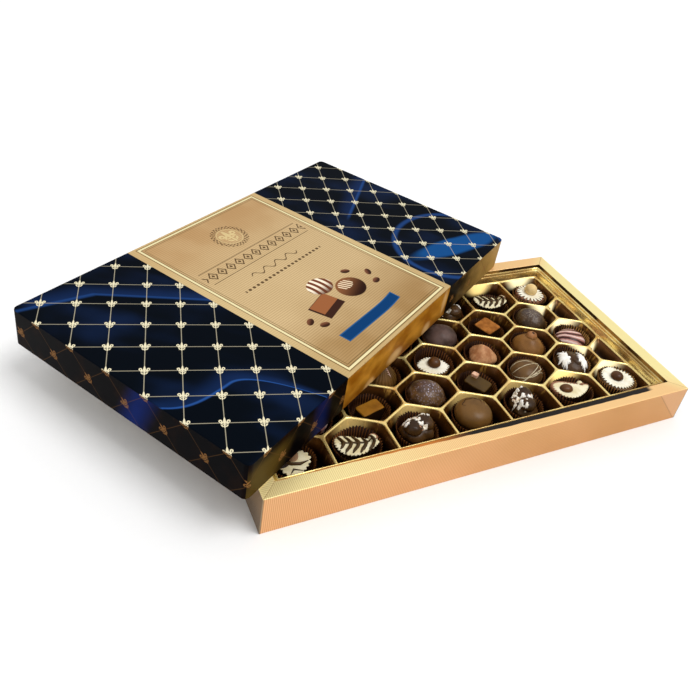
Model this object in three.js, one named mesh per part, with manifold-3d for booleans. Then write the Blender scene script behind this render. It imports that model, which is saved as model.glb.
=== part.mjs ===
import * as THREE from "three";
import { ConvexGeometry } from "three/addons/geometries/ConvexGeometry.js";
import { mergeVertices } from "three/addons/utils/BufferGeometryUtils.js";
import Module from "manifold-3d";

// Millimetres, +Z up. The tray's front runs along X, its depth along Y.

// Tray carton
const trayLength = 340;
const trayDepth = 187;
const trayHeight = 30.5;
const boardThick = 1.5;
const floorThick = 1.2;
const rimWidth = 11;

// Lid, lying loose across the tray
const lidLength = 345;
const lidDepth = 201;
const lidHeight = 28.5;
const lidCorner = 4;
const lidTurn = 31.7;
const lidCornerX = -9.8;
const lidCornerY = 1.5;

// Gaps between neighbours
const gap = 0.3;

// Pocket lattice of the formed insert
const pitchX = 45.3;
const pitchY = 28.2;
const sideEdge = 16;
const pointRise = pitchY - sideEdge;
const latticeX = 169.2;
const latticeY = 92;
const rowSizes = [7, 6, 7, 6, 7];

// Insert levels and widths
const sheet = 0.8;
const insertBase = floorThick + gap;
const ridgeTop = 20.5;
const beadTop = 27;
const flangeTop = 24;
const flangeReach = 1.5;
const beadOuter = 13.6;
const beadInner = 15.4;
const ridgeHalf = 0.6;
const pocketDraft = 1.6;
const endRecessFloor = 8;

// Pleated paper cups
const pleats = 11;
const cupBase = insertBase + sheet + gap;
const cupTop = 18.6;
const cupFootR = 13.4;
const cupMouthR = 16.6;
const pleatDepth = 0.9;
const cupWall = 0.5;
const fillLevel = 12;

// Pieces of chocolate: sides, depth sunk into the cup's foot, unevenness of size and place
const bodySides = 12;
const knobSides = 8;
const sunk = 0.4;
const sizeSpread = 0.025;
const placeSpread = 0.12;

// How near points are joined, and how far a cut runs past a face
const weld = 1e-4;
const hair = 1e-3;
const past = 1;

const wasm = await Module();
wasm.setup();
const { Manifold } = wasm;

// Solids and meshes

function toSolid(geometry) {
  const bare = geometry.clone();
  bare.deleteAttribute("normal");
  bare.deleteAttribute("uv");
  const joined = mergeVertices(bare, weld);
  const kept = [];
  const index = joined.index.array;
  for (let k = 0; k < index.length; k += 3) {
    const [a, b, c] = index.slice(k, k + 3);
    if (a !== b && b !== c && c !== a) {
      kept.push(a, b, c);
    }
  }
  return new Manifold(
    new wasm.Mesh({
      numProp: 3,
      vertProperties: new Float32Array(joined.attributes.position.array),
      triVerts: new Uint32Array(kept),
    })
  );
}

function toGeometry(solid) {
  const mesh = solid.getMesh();
  const geometry = new THREE.BufferGeometry();
  geometry.setAttribute("position", new THREE.BufferAttribute(new Float32Array(mesh.vertProperties), 3));
  geometry.setIndex(new THREE.BufferAttribute(new Uint32Array(mesh.triVerts), 1));
  return geometry;
}

function joinAll(geometries) {
  return geometries.map(toSolid).reduce((whole, next) => whole.add(next));
}

function box(x0, y0, z0, x1, y1, z1) {
  const geometry = new THREE.BoxGeometry(x1 - x0, y1 - y0, z1 - z0);
  return geometry.translate((x0 + x1) / 2, (y0 + y1) / 2, (z0 + z1) / 2);
}

// A tapered block between two outlines of the same corners
function stack(outlineLow, zLow, outlineHigh, zHigh) {
  const low = outlineLow.map(([x, y]) => new THREE.Vector3(x, y, zLow));
  const high = outlineHigh.map(([x, y]) => new THREE.Vector3(x, y, zHigh));
  return new ConvexGeometry([...low, ...high]);
}

// A turned profile whose every ring is drawn out to an outline of about one unit
function turn(profile, sides, outline) {
  const points = profile.map(([radius, z]) => new THREE.Vector2(radius, z));
  const geometry = new THREE.LatheGeometry(points, sides);
  geometry.rotateX(Math.PI / 2).rotateZ(Math.PI / 2);
  const position = geometry.attributes.position;
  for (let k = 0; k < position.count; k += 1) {
    const radius = Math.hypot(position.getX(k), position.getY(k));
    const step = Math.round((Math.atan2(position.getY(k), position.getX(k)) * sides) / (2 * Math.PI));
    const [x, y] = outline((2 * Math.PI * step) / sides);
    position.setXY(k, x * radius, y * radius);
  }
  return geometry;
}

// A convex polygon moved inwards by the same distance on every side
function inset(polygon, distance) {
  const count = polygon.length;
  const sides = polygon.map(([x, y], k) => {
    const [u, v] = polygon[(k + 1) % count];
    const length = Math.hypot(u - x, v - y);
    const nx = -(v - y) / length;
    const ny = (u - x) / length;
    return { nx, ny, reach: nx * x + ny * y + distance };
  });
  return sides.map((side, k) => {
    const before = sides[(k + count - 1) % count];
    const cross = before.nx * side.ny - before.ny * side.nx;
    const x = (before.reach * side.ny - side.reach * before.ny) / cross;
    const y = (before.nx * side.reach - side.nx * before.reach) / cross;
    return [x, y];
  });
}

// Pocket cells

const fieldX0 = beadInner;
const fieldX1 = trayLength - beadInner;
const fieldY0 = beadInner;
const fieldY1 = trayDepth - beadInner;

function cellCentre(row, index) {
  const size = rowSizes[row];
  const x = latticeX + pitchX * (index - (size - 1) / 2);
  const y = latticeY + pitchY * (row - (rowSizes.length - 1) / 2);
  return [x, y];
}

// Height of a slanted side above its lower corner, at a distance along it
function rise(distance) {
  return (distance * pointRise) / (pitchX / 2);
}

function cellOutline(row, index) {
  const [x, y] = cellCentre(row, index);
  const half = pitchX / 2;
  const left = Math.max(x - half, fieldX0);
  const right = Math.min(x + half, fieldX1);
  const lowLeft = y - sideEdge / 2 - rise(left - (x - half));
  const lowRight = y - sideEdge / 2 - rise(x + half - right);
  const front = [[left, lowLeft], [x, y - sideEdge / 2 - pointRise], [right, lowRight]];
  const back = front.map(([u, v]) => [u, 2 * y - v]).reverse();
  if (row === 0) {
    return [[left, fieldY0], [right, fieldY0], ...back];
  }
  if (row === rowSizes.length - 1) {
    return [...front, [right, fieldY1], [left, fieldY1]];
  }
  return [...front, ...back];
}

// The half cells left over at both ends of the short rows
function endOutline(row, side) {
  const index = side > 0 ? rowSizes[row] - 1 : 0;
  const [x, y] = cellCentre(row, index);
  const inner = x + (side * pitchX) / 2;
  const outer = side > 0 ? fieldX1 : fieldX0;
  const spread = sideEdge / 2 + rise(Math.abs(outer - inner));
  const outline = [
    [inner, y - sideEdge / 2],
    [outer, y - spread],
    [outer, y + spread],
    [inner, y + sideEdge / 2],
  ];
  return side > 0 ? outline : outline.reverse();
}

function insertSolid() {
  const reach = rimWidth - flangeReach;
  const flange = box(reach, reach, flangeTop - sheet, trayLength - reach, trayDepth - reach, flangeTop);
  const beadX1 = trayLength - beadOuter;
  const beadY1 = trayDepth - beadOuter;
  const bead = box(beadOuter, beadOuter, ridgeTop - sheet, beadX1, beadY1, beadTop);
  const above = box(fieldX0, fieldY0, ridgeTop, fieldX1, fieldY1, beadTop + past);
  const shells = [];
  const hollows = [];
  const addPocket = (outline, floorZ) => {
    const depth = (ridgeTop - floorZ) / (ridgeTop - insertBase - sheet);
    const shellFoot = inset(outline, pocketDraft * depth);
    shells.push(stack(shellFoot, floorZ - sheet, outline, ridgeTop));
    const mouth = inset(outline, ridgeHalf);
    const foot = inset(outline, ridgeHalf + pocketDraft * depth);
    hollows.push(stack(foot, floorZ, mouth, ridgeTop + hair));
  };
  rowSizes.forEach((size, row) => {
    for (let index = 0; index < size; index += 1) {
      addPocket(cellOutline(row, index), insertBase + sheet);
    }
    if (size === Math.min(...rowSizes)) {
      addPocket(endOutline(row, -1), endRecessFloor);
      addPocket(endOutline(row, 1), endRecessFloor);
    }
  });
  const frame = joinAll([flange, bead]).subtract(toSolid(above));
  return frame.add(joinAll(shells)).subtract(joinAll(hollows));
}

// Carton tray: floor, walls, a flat rim turned in, and a short lip down to the insert

function traySolid() {
  const under = trayHeight - floorThick;
  const innerX = trayLength - boardThick;
  const innerY = trayDepth - boardThick;
  const mouthX = trayLength - rimWidth;
  const mouthY = trayDepth - rimWidth;
  const lipOuter = rimWidth - floorThick;
  const lipLow = flangeTop + gap;
  const block = toSolid(box(0, 0, 0, trayLength, trayDepth, trayHeight));
  const inside = toSolid(box(boardThick, boardThick, floorThick, innerX, innerY, under));
  const mouth = toSolid(box(rimWidth, rimWidth, lipLow - past, mouthX, mouthY, trayHeight + past));
  const lip = toSolid(box(lipOuter, lipOuter, lipLow, trayLength - lipOuter, trayDepth - lipOuter, under));
  return block.subtract(inside).add(lip).subtract(mouth);
}

// Lid: a shallow box, open below, with rounded upright corners

function roundedPrism(margin, radius, z0, z1) {
  const x1 = lidLength - margin;
  const y1 = lidDepth - margin;
  const quarter = Math.PI / 2;
  const shape = new THREE.Shape();
  shape.absarc(x1 - radius, y1 - radius, radius, 0, quarter);
  shape.absarc(margin + radius, y1 - radius, radius, quarter, 2 * quarter);
  shape.absarc(margin + radius, margin + radius, radius, 2 * quarter, 3 * quarter);
  shape.absarc(x1 - radius, margin + radius, radius, 3 * quarter, 4 * quarter);
  const settings = { depth: z1 - z0, bevelEnabled: false, curveSegments: 4 };
  const geometry = new THREE.ExtrudeGeometry(shape, settings);
  return geometry.translate(0, 0, z0);
}

function lidSolid() {
  const outer = roundedPrism(0, lidCorner, 0, lidHeight);
  const inner = roundedPrism(boardThick, lidCorner - boardThick, -past, lidHeight - boardThick);
  return toSolid(outer).subtract(toSolid(inner));
}

// Outlines of the pieces, each about one unit in radius

const round = (angle) => [Math.cos(angle), Math.sin(angle)];

const oval = (ratio) => (angle) => [Math.cos(angle), ratio * Math.sin(angle)];

const slab = (ratio) => (angle) => {
  const power = 0.35;
  const x = Math.sign(Math.cos(angle)) * Math.abs(Math.cos(angle)) ** power;
  const y = Math.sign(Math.sin(angle)) * Math.abs(Math.sin(angle)) ** power;
  return [x, ratio * y];
};

const lens = (ratio) => (angle) => {
  const bulge = Math.sin(angle) * Math.abs(Math.sin(angle)) ** 0.4;
  return [Math.cos(angle), ratio * bulge];
};

const drop = (angle) => {
  const along = Math.cos(angle);
  const width = 0.5 - 0.26 * along;
  return [along, Math.sin(angle) * width + 0.22 * along * along - 0.08];
};

const trefoil = (angle) => {
  const reach = 0.92 + 0.1 * Math.cos(3 * angle);
  return [reach * Math.cos(angle), reach * Math.sin(angle)];
};

const lumpy = (angle) => {
  const reach = 0.9 + 0.09 * Math.cos(2 * angle + 0.5) + 0.06 * Math.cos(5 * angle);
  return [reach * Math.cos(angle), reach * Math.sin(angle)];
};

const ribbed = (angle) => {
  const reach = 0.95 + 0.07 * Math.cos(6 * angle);
  return [reach * Math.cos(angle), reach * Math.sin(angle)];
};

// A piece raised over its outline: each level is a share of height and a share of width
const domeLevels = [[0, 0.93], [0.25, 1], [0.6, 0.84], [0.88, 0.5]];
const blockLevels = [[0, 1], [0.88, 1], [1, 0.9]];
const faceLevels = [[0, 0.92], [0.7, 1], [1, 0.93]];
const coneLevels = [[0, 0.96], [0.35, 0.9], [0.75, 0.5], [0.96, 0.18]];

function raise(outline, radius, height, levels) {
  const rings = levels.map(([share, width]) => [radius * width, share * height]);
  const profile = [[0, 0], ...rings, [0, height]];
  return turn(profile, bodySides, outline);
}

function knob(radius, height) {
  const profile = [[0, 0], [0.7, 0], [1, 0.4], [0.7, 0.8], [0, 1]];
  return turn(profile.map(([width, share]) => [radius * width, share * height]), knobSides, round);
}

// Paper cup: a pleated wall round a filled foot
function cupShape() {
  const share = (fillLevel - cupBase) / (cupTop - cupBase);
  const fillR = cupFootR + (cupMouthR - cupFootR) * share;
  const profile = [
    [0, cupBase],
    [cupFootR, cupBase],
    [cupMouthR, cupTop],
    [cupMouthR - cupWall, cupTop],
    [fillR - cupWall, fillLevel],
    [0, fillLevel],
  ];
  const pleat = (angle) => {
    const fold = Math.cos(pleats * angle) > 0 ? 0 : pleatDepth / cupMouthR;
    return [(1 - fold) * Math.cos(angle), (1 - fold) * Math.sin(angle)];
  };
  return turn(profile, pleats * 2, pleat);
}

const seat = fillLevel - sunk;

// The kinds of praline, each standing in the cup's filled foot
const kinds = {
  almond_cream: () => [
    raise(trefoil, 14.2, 6, faceLevels),
    knob(4.6, 9.5).translate(4, 2.5, 4),
  ],
  zebra_drop: () => [
    raise(drop, 15, 7.5, [[0, 0.9], [0.45, 0.97], [0.85, 0.78], [1, 0.5]]),
    knob(3.6, 6).translate(10.4, 3, 4.5),
  ],
  nut_cluster: () => [
    raise(lumpy, 14, 8.5, domeLevels),
    knob(6, 8).translate(-5.5, 1.5, 4),
    knob(6, 7).translate(5.5, -1.5, 4),
  ],
  capped_ball: () => [
    raise(round, 14.3, 14, domeLevels),
    knob(4.2, 2.2).translate(0, 1.5, 13.2),
  ],
  cream_bean: () => [
    raise(drop, 15.2, 6.5, [[0, 0.9], [0.6, 0.97], [1, 0.86]]),
    knob(4.8, 4.6).translate(-5, -0.5, 5),
  ],
  cream_round: () => [
    raise(round, 14.6, 7, faceLevels),
    knob(5.2, 6).translate(0, 0, 5.5),
  ],
  golden_block: () => [raise(slab(0.54), 9.8, 9, blockLevels)],
  speckled_dome: () => [raise(round, 14.2, 13.5, domeLevels)],
  square_block: () => [
    raise(slab(0.75), 9.2, 10, blockLevels),
    raise(slab(0.8), 2.4, 2.4, blockLevels).translate(-4.8, 4, 9.5),
  ],
  drizzled_dome: () => [raise(oval(0.92), 14.9, 12.5, domeLevels)],
  white_patch: () => [
    raise(lumpy, 13.9, 10, domeLevels),
    knob(4.6, 7).translate(-7.5, 0, 3),
    knob(4.6, 7).translate(7.5, 0.5, 3),
  ],
  ribbed_cone: () => [raise(ribbed, 13.6, 13, coneLevels)],
  cream_lens: () => [
    raise(lens(0.62), 15, 6, faceLevels),
    knob(4.4, 6).translate(0, 0, 4.6),
  ],
  milk_trefoil: () => [raise(trefoil, 14, 11.5, domeLevels)],
  nut_dome: () => [
    raise(round, 14.2, 12.5, domeLevels),
    knob(3.6, 5.5).translate(0.5, 1, 10.8),
  ],
  striped_dome: () => [raise(oval(0.85), 14.7, 11.5, domeLevels)],
  plum_dome: () => [raise(oval(0.9), 14.6, 12.5, domeLevels)],
  cocoa_diamond: () => [raise(slab(0.95), 8.6, 10.5, blockLevels)],
  star_dome: () => [raise(round, 14.3, 13, domeLevels)],
  cream_peak: () => [
    raise(ribbed, 13.8, 6.5, faceLevels),
    knob(6.2, 9.5).translate(1, 1, 5),
  ],
};

// One row per line, front to back, each entry a kind, its turn in degrees, and how far up and back it sits
const filling = [
  [["almond_cream", 10, -4.5], ["zebra_drop", -14, -4.5], ["nut_cluster", 20], ["capped_ball", 0],
    ["nut_cluster", 75], ["cream_bean", -10], ["cream_round", 0]],
  [["striped_dome", 30], ["golden_block", 14, -5.5], ["speckled_dome", 0], ["square_block", -62, -5],
    ["drizzled_dome", 25], ["white_patch", 0]],
  [["cream_round", 30], ["cocoa_diamond", 40], ["ribbed_cone", 0], ["cream_lens", -14, -3.5],
    ["milk_trefoil", 90], ["nut_dome", 0], ["striped_dome", -10, -3.5]],
  [["nut_dome", 50], ["white_patch", 60], ["cream_bean", 20], ["plum_dome", 15], ["cocoa_diamond", 22, -3.5],
    ["star_dome", 0]],
  [["capped_ball", 0], ["drizzled_dome", -20], ["cream_lens", -10], ["square_block", 12],
    ["nut_cluster", -30], ["zebra_drop", -14], ["cream_peak", 0, 0, 3.5]],
];

// Uneven by hand: each piece is a little larger or smaller, and off its pocket's centre
function wobble(seed) {
  const value = Math.sin(seed * 12.9898) * 43758.5453;
  return 2 * (value - Math.floor(value)) - 1;
}

const finishes = {
  card: { tone: 0xd9a066, roughness: 0.5, metalness: 0.3 },
  foil: { tone: 0xc79a3a, roughness: 0.25, metalness: 0.9 },
  navy: { tone: 0x0b1a3a, roughness: 0.35, metalness: 0.1 },
  dark: { tone: 0x2e1a12, roughness: 0.45, metalness: 0 },
  milk: { tone: 0x6b4126, roughness: 0.5, metalness: 0 },
  cream: { tone: 0xe6dcc0, roughness: 0.6, metalness: 0 },
};

const tint = {
  almond_cream: "cream",
  cream_bean: "cream",
  cream_round: "cream",
  cream_lens: "cream",
  cream_peak: "cream",
  capped_ball: "milk",
  golden_block: "milk",
  ribbed_cone: "milk",
  milk_trefoil: "milk",
  nut_dome: "milk",
  cocoa_diamond: "milk",
  striped_dome: "milk",
};

// Everything is set about the middle of the whole footprint
const turnRad = THREE.MathUtils.degToRad(lidTurn);
const lean = Math.sin(turnRad);
const run = Math.cos(turnRad);
const lidLeft = lidCornerX + lidCorner * run - (lidDepth - lidCorner) * lean - lidCorner;
const lidBack = lidCornerY + (lidLength - lidCorner) * lean + (lidDepth - lidCorner) * run + lidCorner;

const group = new THREE.Group();
group.name = "praline_box";
group.position.set(-(lidLeft + trayLength) / 2, -lidBack / 2, 0);

function addMesh(name, solid, colour) {
  const { tone, roughness, metalness } = finishes[colour];
  const material = new THREE.MeshStandardMaterial({ color: tone, roughness, metalness, name: colour });
  const mesh = new THREE.Mesh(toGeometry(solid), material);
  mesh.name = name;
  group.add(mesh);
  return mesh;
}

addMesh("tray", traySolid(), "card");
addMesh("insert", insertSolid(), "foil");
const lid = addMesh("lid", lidSolid(), "navy");
lid.rotation.z = turnRad;
lid.position.set(lidCornerX, lidCornerY, trayHeight + gap);

filling.forEach((row, rowIndex) => {
  row.forEach(([kind, degrees, lift = 0, back = 0], index) => {
    const seed = rowIndex * 10 + index + 1;
    const size = 1 + sizeSpread * wobble(seed);
    const layers = kinds[kind]().map((layer) => {
      layer.scale(size, size, 1).rotateZ(THREE.MathUtils.degToRad(degrees));
      return layer.translate(0, 0, seat + lift);
    });
    const cup = cupShape().rotateZ(wobble(seed + 0.3));
    const name = `${"abcde"[rowIndex]}${index + 1}_${kind}`;
    const praline = addMesh(name, joinAll([cup, ...layers]), tint[kind] ?? "dark");
    const [x, y] = cellCentre(rowIndex, index);
    const shiftX = placeSpread * wobble(seed + 0.6);
    const shiftY = placeSpread * wobble(seed + 0.8);
    praline.position.set(x + shiftX, y + back + shiftY, 0);
  });
});

export default group;
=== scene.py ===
import math
import bpy
import numpy as np
from mathutils import Matrix, Vector, noise
from mathutils.bvhtree import BVHTree


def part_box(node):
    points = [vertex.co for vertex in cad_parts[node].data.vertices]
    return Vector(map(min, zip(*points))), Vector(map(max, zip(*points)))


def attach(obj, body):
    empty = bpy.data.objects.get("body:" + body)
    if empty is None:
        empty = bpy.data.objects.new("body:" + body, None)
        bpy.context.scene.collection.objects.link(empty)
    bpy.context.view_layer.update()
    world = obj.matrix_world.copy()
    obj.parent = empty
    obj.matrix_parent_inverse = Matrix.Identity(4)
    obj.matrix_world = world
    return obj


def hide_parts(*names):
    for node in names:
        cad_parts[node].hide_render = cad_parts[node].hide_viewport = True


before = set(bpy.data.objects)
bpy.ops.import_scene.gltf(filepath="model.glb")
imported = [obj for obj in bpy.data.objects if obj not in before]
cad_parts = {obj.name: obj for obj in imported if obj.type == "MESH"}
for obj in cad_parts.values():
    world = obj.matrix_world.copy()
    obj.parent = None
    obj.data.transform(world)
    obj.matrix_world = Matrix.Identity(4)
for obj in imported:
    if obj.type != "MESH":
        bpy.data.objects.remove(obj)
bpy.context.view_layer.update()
scene = bpy.context.scene
mm = 0.001
fullTurn = 2 * math.pi
noise.seed_set(5)  # the same lumps on every run
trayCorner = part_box("tray")[0]  # the tray's front left corner on the floor
print("frame loaded")


view = {
    "lens": 37.9,  # mm on a 36 mm frame
    "place": (-114.99, -252.86, 371.09),  # mm from the tray's front left corner
    "right": (0.8979, -0.41442, 0.14847),
    "up": (0.11144, 0.54028, 0.83407),
    "forward": (0.42587, 0.73237, -0.5313),
    "shift": (-0.0079, -0.127),
}


def addCamera(v):
    data = bpy.data.cameras.new("camera")
    data.lens = v["lens"]
    data.sensor_width = 36
    data.shift_x, data.shift_y = v["shift"]
    data.clip_end = 20
    camera = bpy.data.objects.new("camera", data)
    right, up, ahead = (Vector(v[k]).normalized() for k in ("right", "up", "forward"))
    turn = Matrix((right, up, -ahead)).transposed().to_4x4()
    place = Vector(v["place"]) * mm + Vector((trayCorner.x, trayCorner.y, 0))
    camera.matrix_world = Matrix.Translation(place) @ turn
    scene.collection.objects.link(camera)
    scene.camera = camera


addCamera(view)


# Sums on sockets, for materials and for geometry trees alike
class Wire:
    def __init__(self, kit, socket):
        self.kit = kit
        self.socket = socket

    def of(self, name):
        return Wire(self.kit, self.socket.node.outputs[name])

    def __add__(self, other):
        return self.kit.math("ADD", self, other)

    def __radd__(self, other):
        return self.kit.math("ADD", other, self)

    def __sub__(self, other):
        return self.kit.math("SUBTRACT", self, other)

    def __rsub__(self, other):
        return self.kit.math("SUBTRACT", other, self)

    def __mul__(self, other):
        return self.kit.math("MULTIPLY", self, other)

    def __rmul__(self, other):
        return self.kit.math("MULTIPLY", other, self)

    def __truediv__(self, other):
        return self.kit.math("DIVIDE", self, other)

    def __rtruediv__(self, other):
        return self.kit.math("DIVIDE", other, self)

    def __neg__(self):
        return self.kit.math("MULTIPLY", self, -1)


class Kit:
    def __init__(self, tree):
        self.tree = tree

    def add(self, kind, settings=None, values=None, out=0):
        node = self.tree.nodes.new(kind)
        for key, value in (settings or {}).items():
            setattr(node, key, value)
        for key, value in (values or {}).items():
            if isinstance(value, Wire):
                self.tree.links.new(value.socket, node.inputs[key])
            else:
                node.inputs[key].default_value = value
        return Wire(self, node.outputs[out]) if node.outputs else node

    def math(self, operation, *terms):
        return self.add("ShaderNodeMath", {"operation": operation}, dict(enumerate(terms)))

    def vector(self, operation, *terms, out=0):
        return self.add("ShaderNodeVectorMath", {"operation": operation}, dict(enumerate(terms)), out)

    def mix(self, factor, first, second):  # three numbers are a colour as seen
        shades = [tone(*c) if isinstance(c, tuple) and len(c) == 3 else c for c in (first, second)]
        colours = {0: factor, 6: shades[0], 7: shades[1]}
        return self.add("ShaderNodeMix", {"data_type": "RGBA"}, colours, 2)

    def step(self, value, low, high):  # 0 below low, 1 above high, smooth between
        values = {"Value": value, "From Min": low, "From Max": high}
        return self.add("ShaderNodeMapRange", {"interpolation_type": "SMOOTHSTEP"}, values)

    def fade(self, value, low, high):  # the other way round
        return 1 - self.step(value, low, high)

    def between(self, value, low, high, soft):
        return self.step(value, low - soft, low + soft) * self.fade(value, high - soft, high + soft)

    def split(self, vector):
        parts = self.add("ShaderNodeSeparateXYZ", None, {0: vector})
        return parts.of("X"), parts.of("Y"), parts.of("Z")

    def join(self, x, y, z=0.0):
        return self.add("ShaderNodeCombineXYZ", None, {0: x, 1: y, 2: z})

    def noise(self, vector, scale, detail=2.0, rough=0.5):
        values = {"Vector": vector, "Scale": scale, "Detail": detail, "Roughness": rough}
        return self.add("ShaderNodeTexNoise", None, values)

    def cells(self, vector, scale, feature="F1"):
        return self.add("ShaderNodeTexVoronoi", {"feature": feature}, {"Vector": vector, "Scale": scale})

    def sine(self, value):
        return self.math("SINE", value)

    def cosine(self, value):
        return self.math("COSINE", value)

    def root(self, value):
        return self.math("SQRT", value)

    def absolute(self, value):
        return self.math("ABSOLUTE", value)

    def most(self, *terms, operation="MAXIMUM"):
        whole = terms[0]
        for term in terms[1:]:
            whole = self.math(operation, whole, term)
        return whole

    def least(self, *terms):
        return self.most(*terms, operation="MINIMUM")

    def oval(self, pair, low, high):  # 1 within the unit circle, 0 outside, soft from low to high
        return self.fade(pair[0] * pair[0] + pair[1] * pair[1], low, high)

    def layer(self, base, *layers):  # each layer: its share, and what it lays over the rest
        for share, shade in layers:
            base = self.mix(share, base, shade)
        return base


def tone(red, green, blue):  # 0 to 255 made linear
    def line(c):
        c /= 255
        return c / 12.92 if c <= 0.04045 else ((c + 0.055) / 1.055) ** 2.4
    return (line(red), line(green), line(blue), 1)


def startFinish(name):  # its kit, and the point on the piece
    material = bpy.data.materials.new(name)
    material.use_nodes = True
    material.node_tree.nodes.clear()
    kit = Kit(material.node_tree)
    kit.material = material
    return kit, kit.add("ShaderNodeTexCoord").of("Object")


def endFinish(kit, values, height=None, depth=0.0, strength=1.0):
    if height is not None:
        bump = {"Height": height, "Distance": depth, "Strength": strength}
        values["Normal"] = kit.add("ShaderNodeBump", None, bump)
    shader = kit.add("ShaderNodeBsdfPrincipled", None, values)
    kit.add("ShaderNodeOutputMaterial", None, {"Surface": shader})
    return kit.material


def ownPoint(kit, name):  # a piece's own UV map, in millimetres
    return kit.split(kit.add("ShaderNodeUVMap", {"uv_map": name}))[:2]


def trayPoint(kit, place):  # millimetres from the tray's corner
    return [part * 1000 for part in kit.split(kit.vector("SUBTRACT", place, tuple(trayCorner)))]


# tone and second tone as seen, patch size in mm, roughness, coat, bump depth in mm
foodTones = {
    "oliveShell": ((112, 79, 38), (76, 50, 14), 9, 0.34, 0.08, 0.12),
    "milkShell": ((142, 98, 48), (108, 70, 28), 7, 0.38, 0.08, 0.14),
    "rosyMilk": ((202, 150, 106), (166, 110, 70), 2.4, 0.5, 0.05, 0.3),
    "rosyRim": ((150, 104, 78), (112, 72, 48), 5, 0.4, 0.1, 0.12),
    "nutSkin": ((166, 114, 70), (130, 82, 44), 3, 0.45, 0.08, 0.2),
    "darkShell": ((76, 50, 22), (46, 28, 10), 6, 0.34, 0.1, 0.16),
    "ballShell": ((96, 60, 28), (66, 38, 14), 6, 0.32, 0.12, 0.1),
    "blackShell": ((78, 56, 16), (56, 38, 10), 8, 0.42, 0.05, 0.1),
    "plumShell": ((92, 72, 66), (58, 42, 34), 6, 0.46, 0.08, 0.18),
    "duskShell": ((106, 76, 40), (74, 48, 22), 5, 0.4, 0.1, 0.2),
    "goldenShell": ((150, 100, 24), (122, 76, 10), 4, 0.5, 0.03, 0.14),
    "cocoaDust": ((172, 108, 46), (132, 78, 28), 1.8, 0.85, 0.0, 0.35),
    "shadeShell": ((44, 24, 8), (28, 13, 3), 6, 0.5, 0.03, 0.12),
    "creamFilling": ((240, 232, 200), (222, 206, 160), 4, 0.5, 0.05, 0.18),
    "whiteFilling": ((248, 246, 230), (234, 226, 200), 4, 0.5, 0.05, 0.15),
    "peakFilling": ((236, 208, 150), (220, 184, 120), 5, 0.5, 0.05, 0.12),
    "almondSkin": ((184, 148, 116), (150, 110, 80), 3, 0.55, 0.0, 0.15),
    "darkPiping": ((74, 52, 22), (52, 34, 12), 3, 0.42, 0.1, 0.08),
    "whitePiping": ((214, 202, 172), (184, 168, 134), 3, 0.5, 0.05, 0.05),
    "greyPiping": ((150, 138, 124), (120, 106, 92), 3, 0.5, 0.05, 0.05),
    "rosyPiping": ((226, 192, 178), (196, 150, 132), 3, 0.5, 0.05, 0.05),
    "nutFlake": ((232, 194, 168), (196, 140, 106), 1.5, 0.6, 0.0, 0.1),
    "milkFlake": ((252, 248, 236), (236, 222, 198), 1.5, 0.6, 0.0, 0.1),
    "snowPatch": ((255, 254, 250), (246, 240, 226), 2, 0.6, 0.0, 0.2),
}


foodShine = 0.16


def makeFood(name, main, second, patch, roughness, coat, depth):
    kit, place = startFinish(name)
    broad = kit.noise(place, 1000 / (patch * 2.2), 3.0, 0.55)
    fine = kit.noise(place, 2600, 2.0, 0.6)
    pits = kit.fade(kit.cells(place, 900), 0.05, 0.22)
    colour = kit.layer(second, (kit.step(broad * 0.75 + fine * 0.25, 0.36, 0.62), main),
                       (pits * 0.35, tuple(0.6 * c for c in second)))
    values = {
        "Base Color": colour,
        "Roughness": roughness + (fine - 0.5) * 0.25,
        "Coat Weight": coat,
        "Coat Roughness": 0.25,
        "Specular IOR Level": foodShine,
    }
    return endFinish(kit, values, broad * 0.7 + fine * 0.3, depth * mm, 0.8)


def makeSpeckled(name, main, second, speck):  # bloom specks, thick at the crown
    kit, place = startFinish(name)
    u, v = ownPoint(kit, "local")
    fromTop = kit.root(u * u + v * v)
    broad = kit.noise(place, 160, 3.0, 0.6)
    dots = kit.cells(place, 620)
    crown = kit.fade(fromTop, 3, 11)
    specks = kit.fade(dots, 0.2, 0.42) * kit.step(broad, 0.36, 0.56) * (0.2 + crown * 0.8)
    colour = kit.layer(second, (kit.step(broad, 0.35, 0.65), main), (crown * 0.3, (96, 86, 96)),
                       (specks * 0.85, speck))
    values = {"Base Color": colour, "Roughness": 0.36 + specks * 0.4, "Coat Weight": 0.15}
    values["Coat Roughness"] = 0.2
    values["Specular IOR Level"] = 0.2
    return endFinish(kit, values, broad + specks, 0.2 * mm, 0.8)


def makeStriped(name, band, groove):  # broad curved bands across a dome
    kit, place = startFinish(name)
    u, v = ownPoint(kit, "local")
    wander = (kit.noise(place, 120) - 0.5) * 2.4
    path = v * 0.93 + u * 0.3 - u * u * 0.022 + wander
    wave = kit.sine(path * (fullTurn / 5.4))
    fine = kit.noise(place, 1500, 3.0, 0.6)
    colour = kit.layer(groove, (kit.step(wave, -0.55, -0.2), band),
                       # painted highlight: a pale line along the crest of each band
                       (kit.step(wave, 0.45, 0.95) * 0.75, (238, 216, 206)),
                       (kit.step(fine, 0.5, 0.7) * 0.2, groove))
    values = {"Base Color": colour, "Roughness": 0.42 + (fine - 0.5) * 0.3, "Coat Weight": 0.1}
    values["Specular IOR Level"] = 0.2
    return endFinish(kit, values, wave * 0.8 + fine * 0.2, 0.4 * mm, 0.8)


cups = {
    "pleats": 44,
    "footRadius": 12.6,
    "foot": 2.7,
    "fold": 0.075,
    "wall": 0.25,
    "wave": 0.9,  # how uneven the rim is
    "seat": 11.6,  # where the piece of chocolate stands
}


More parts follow.
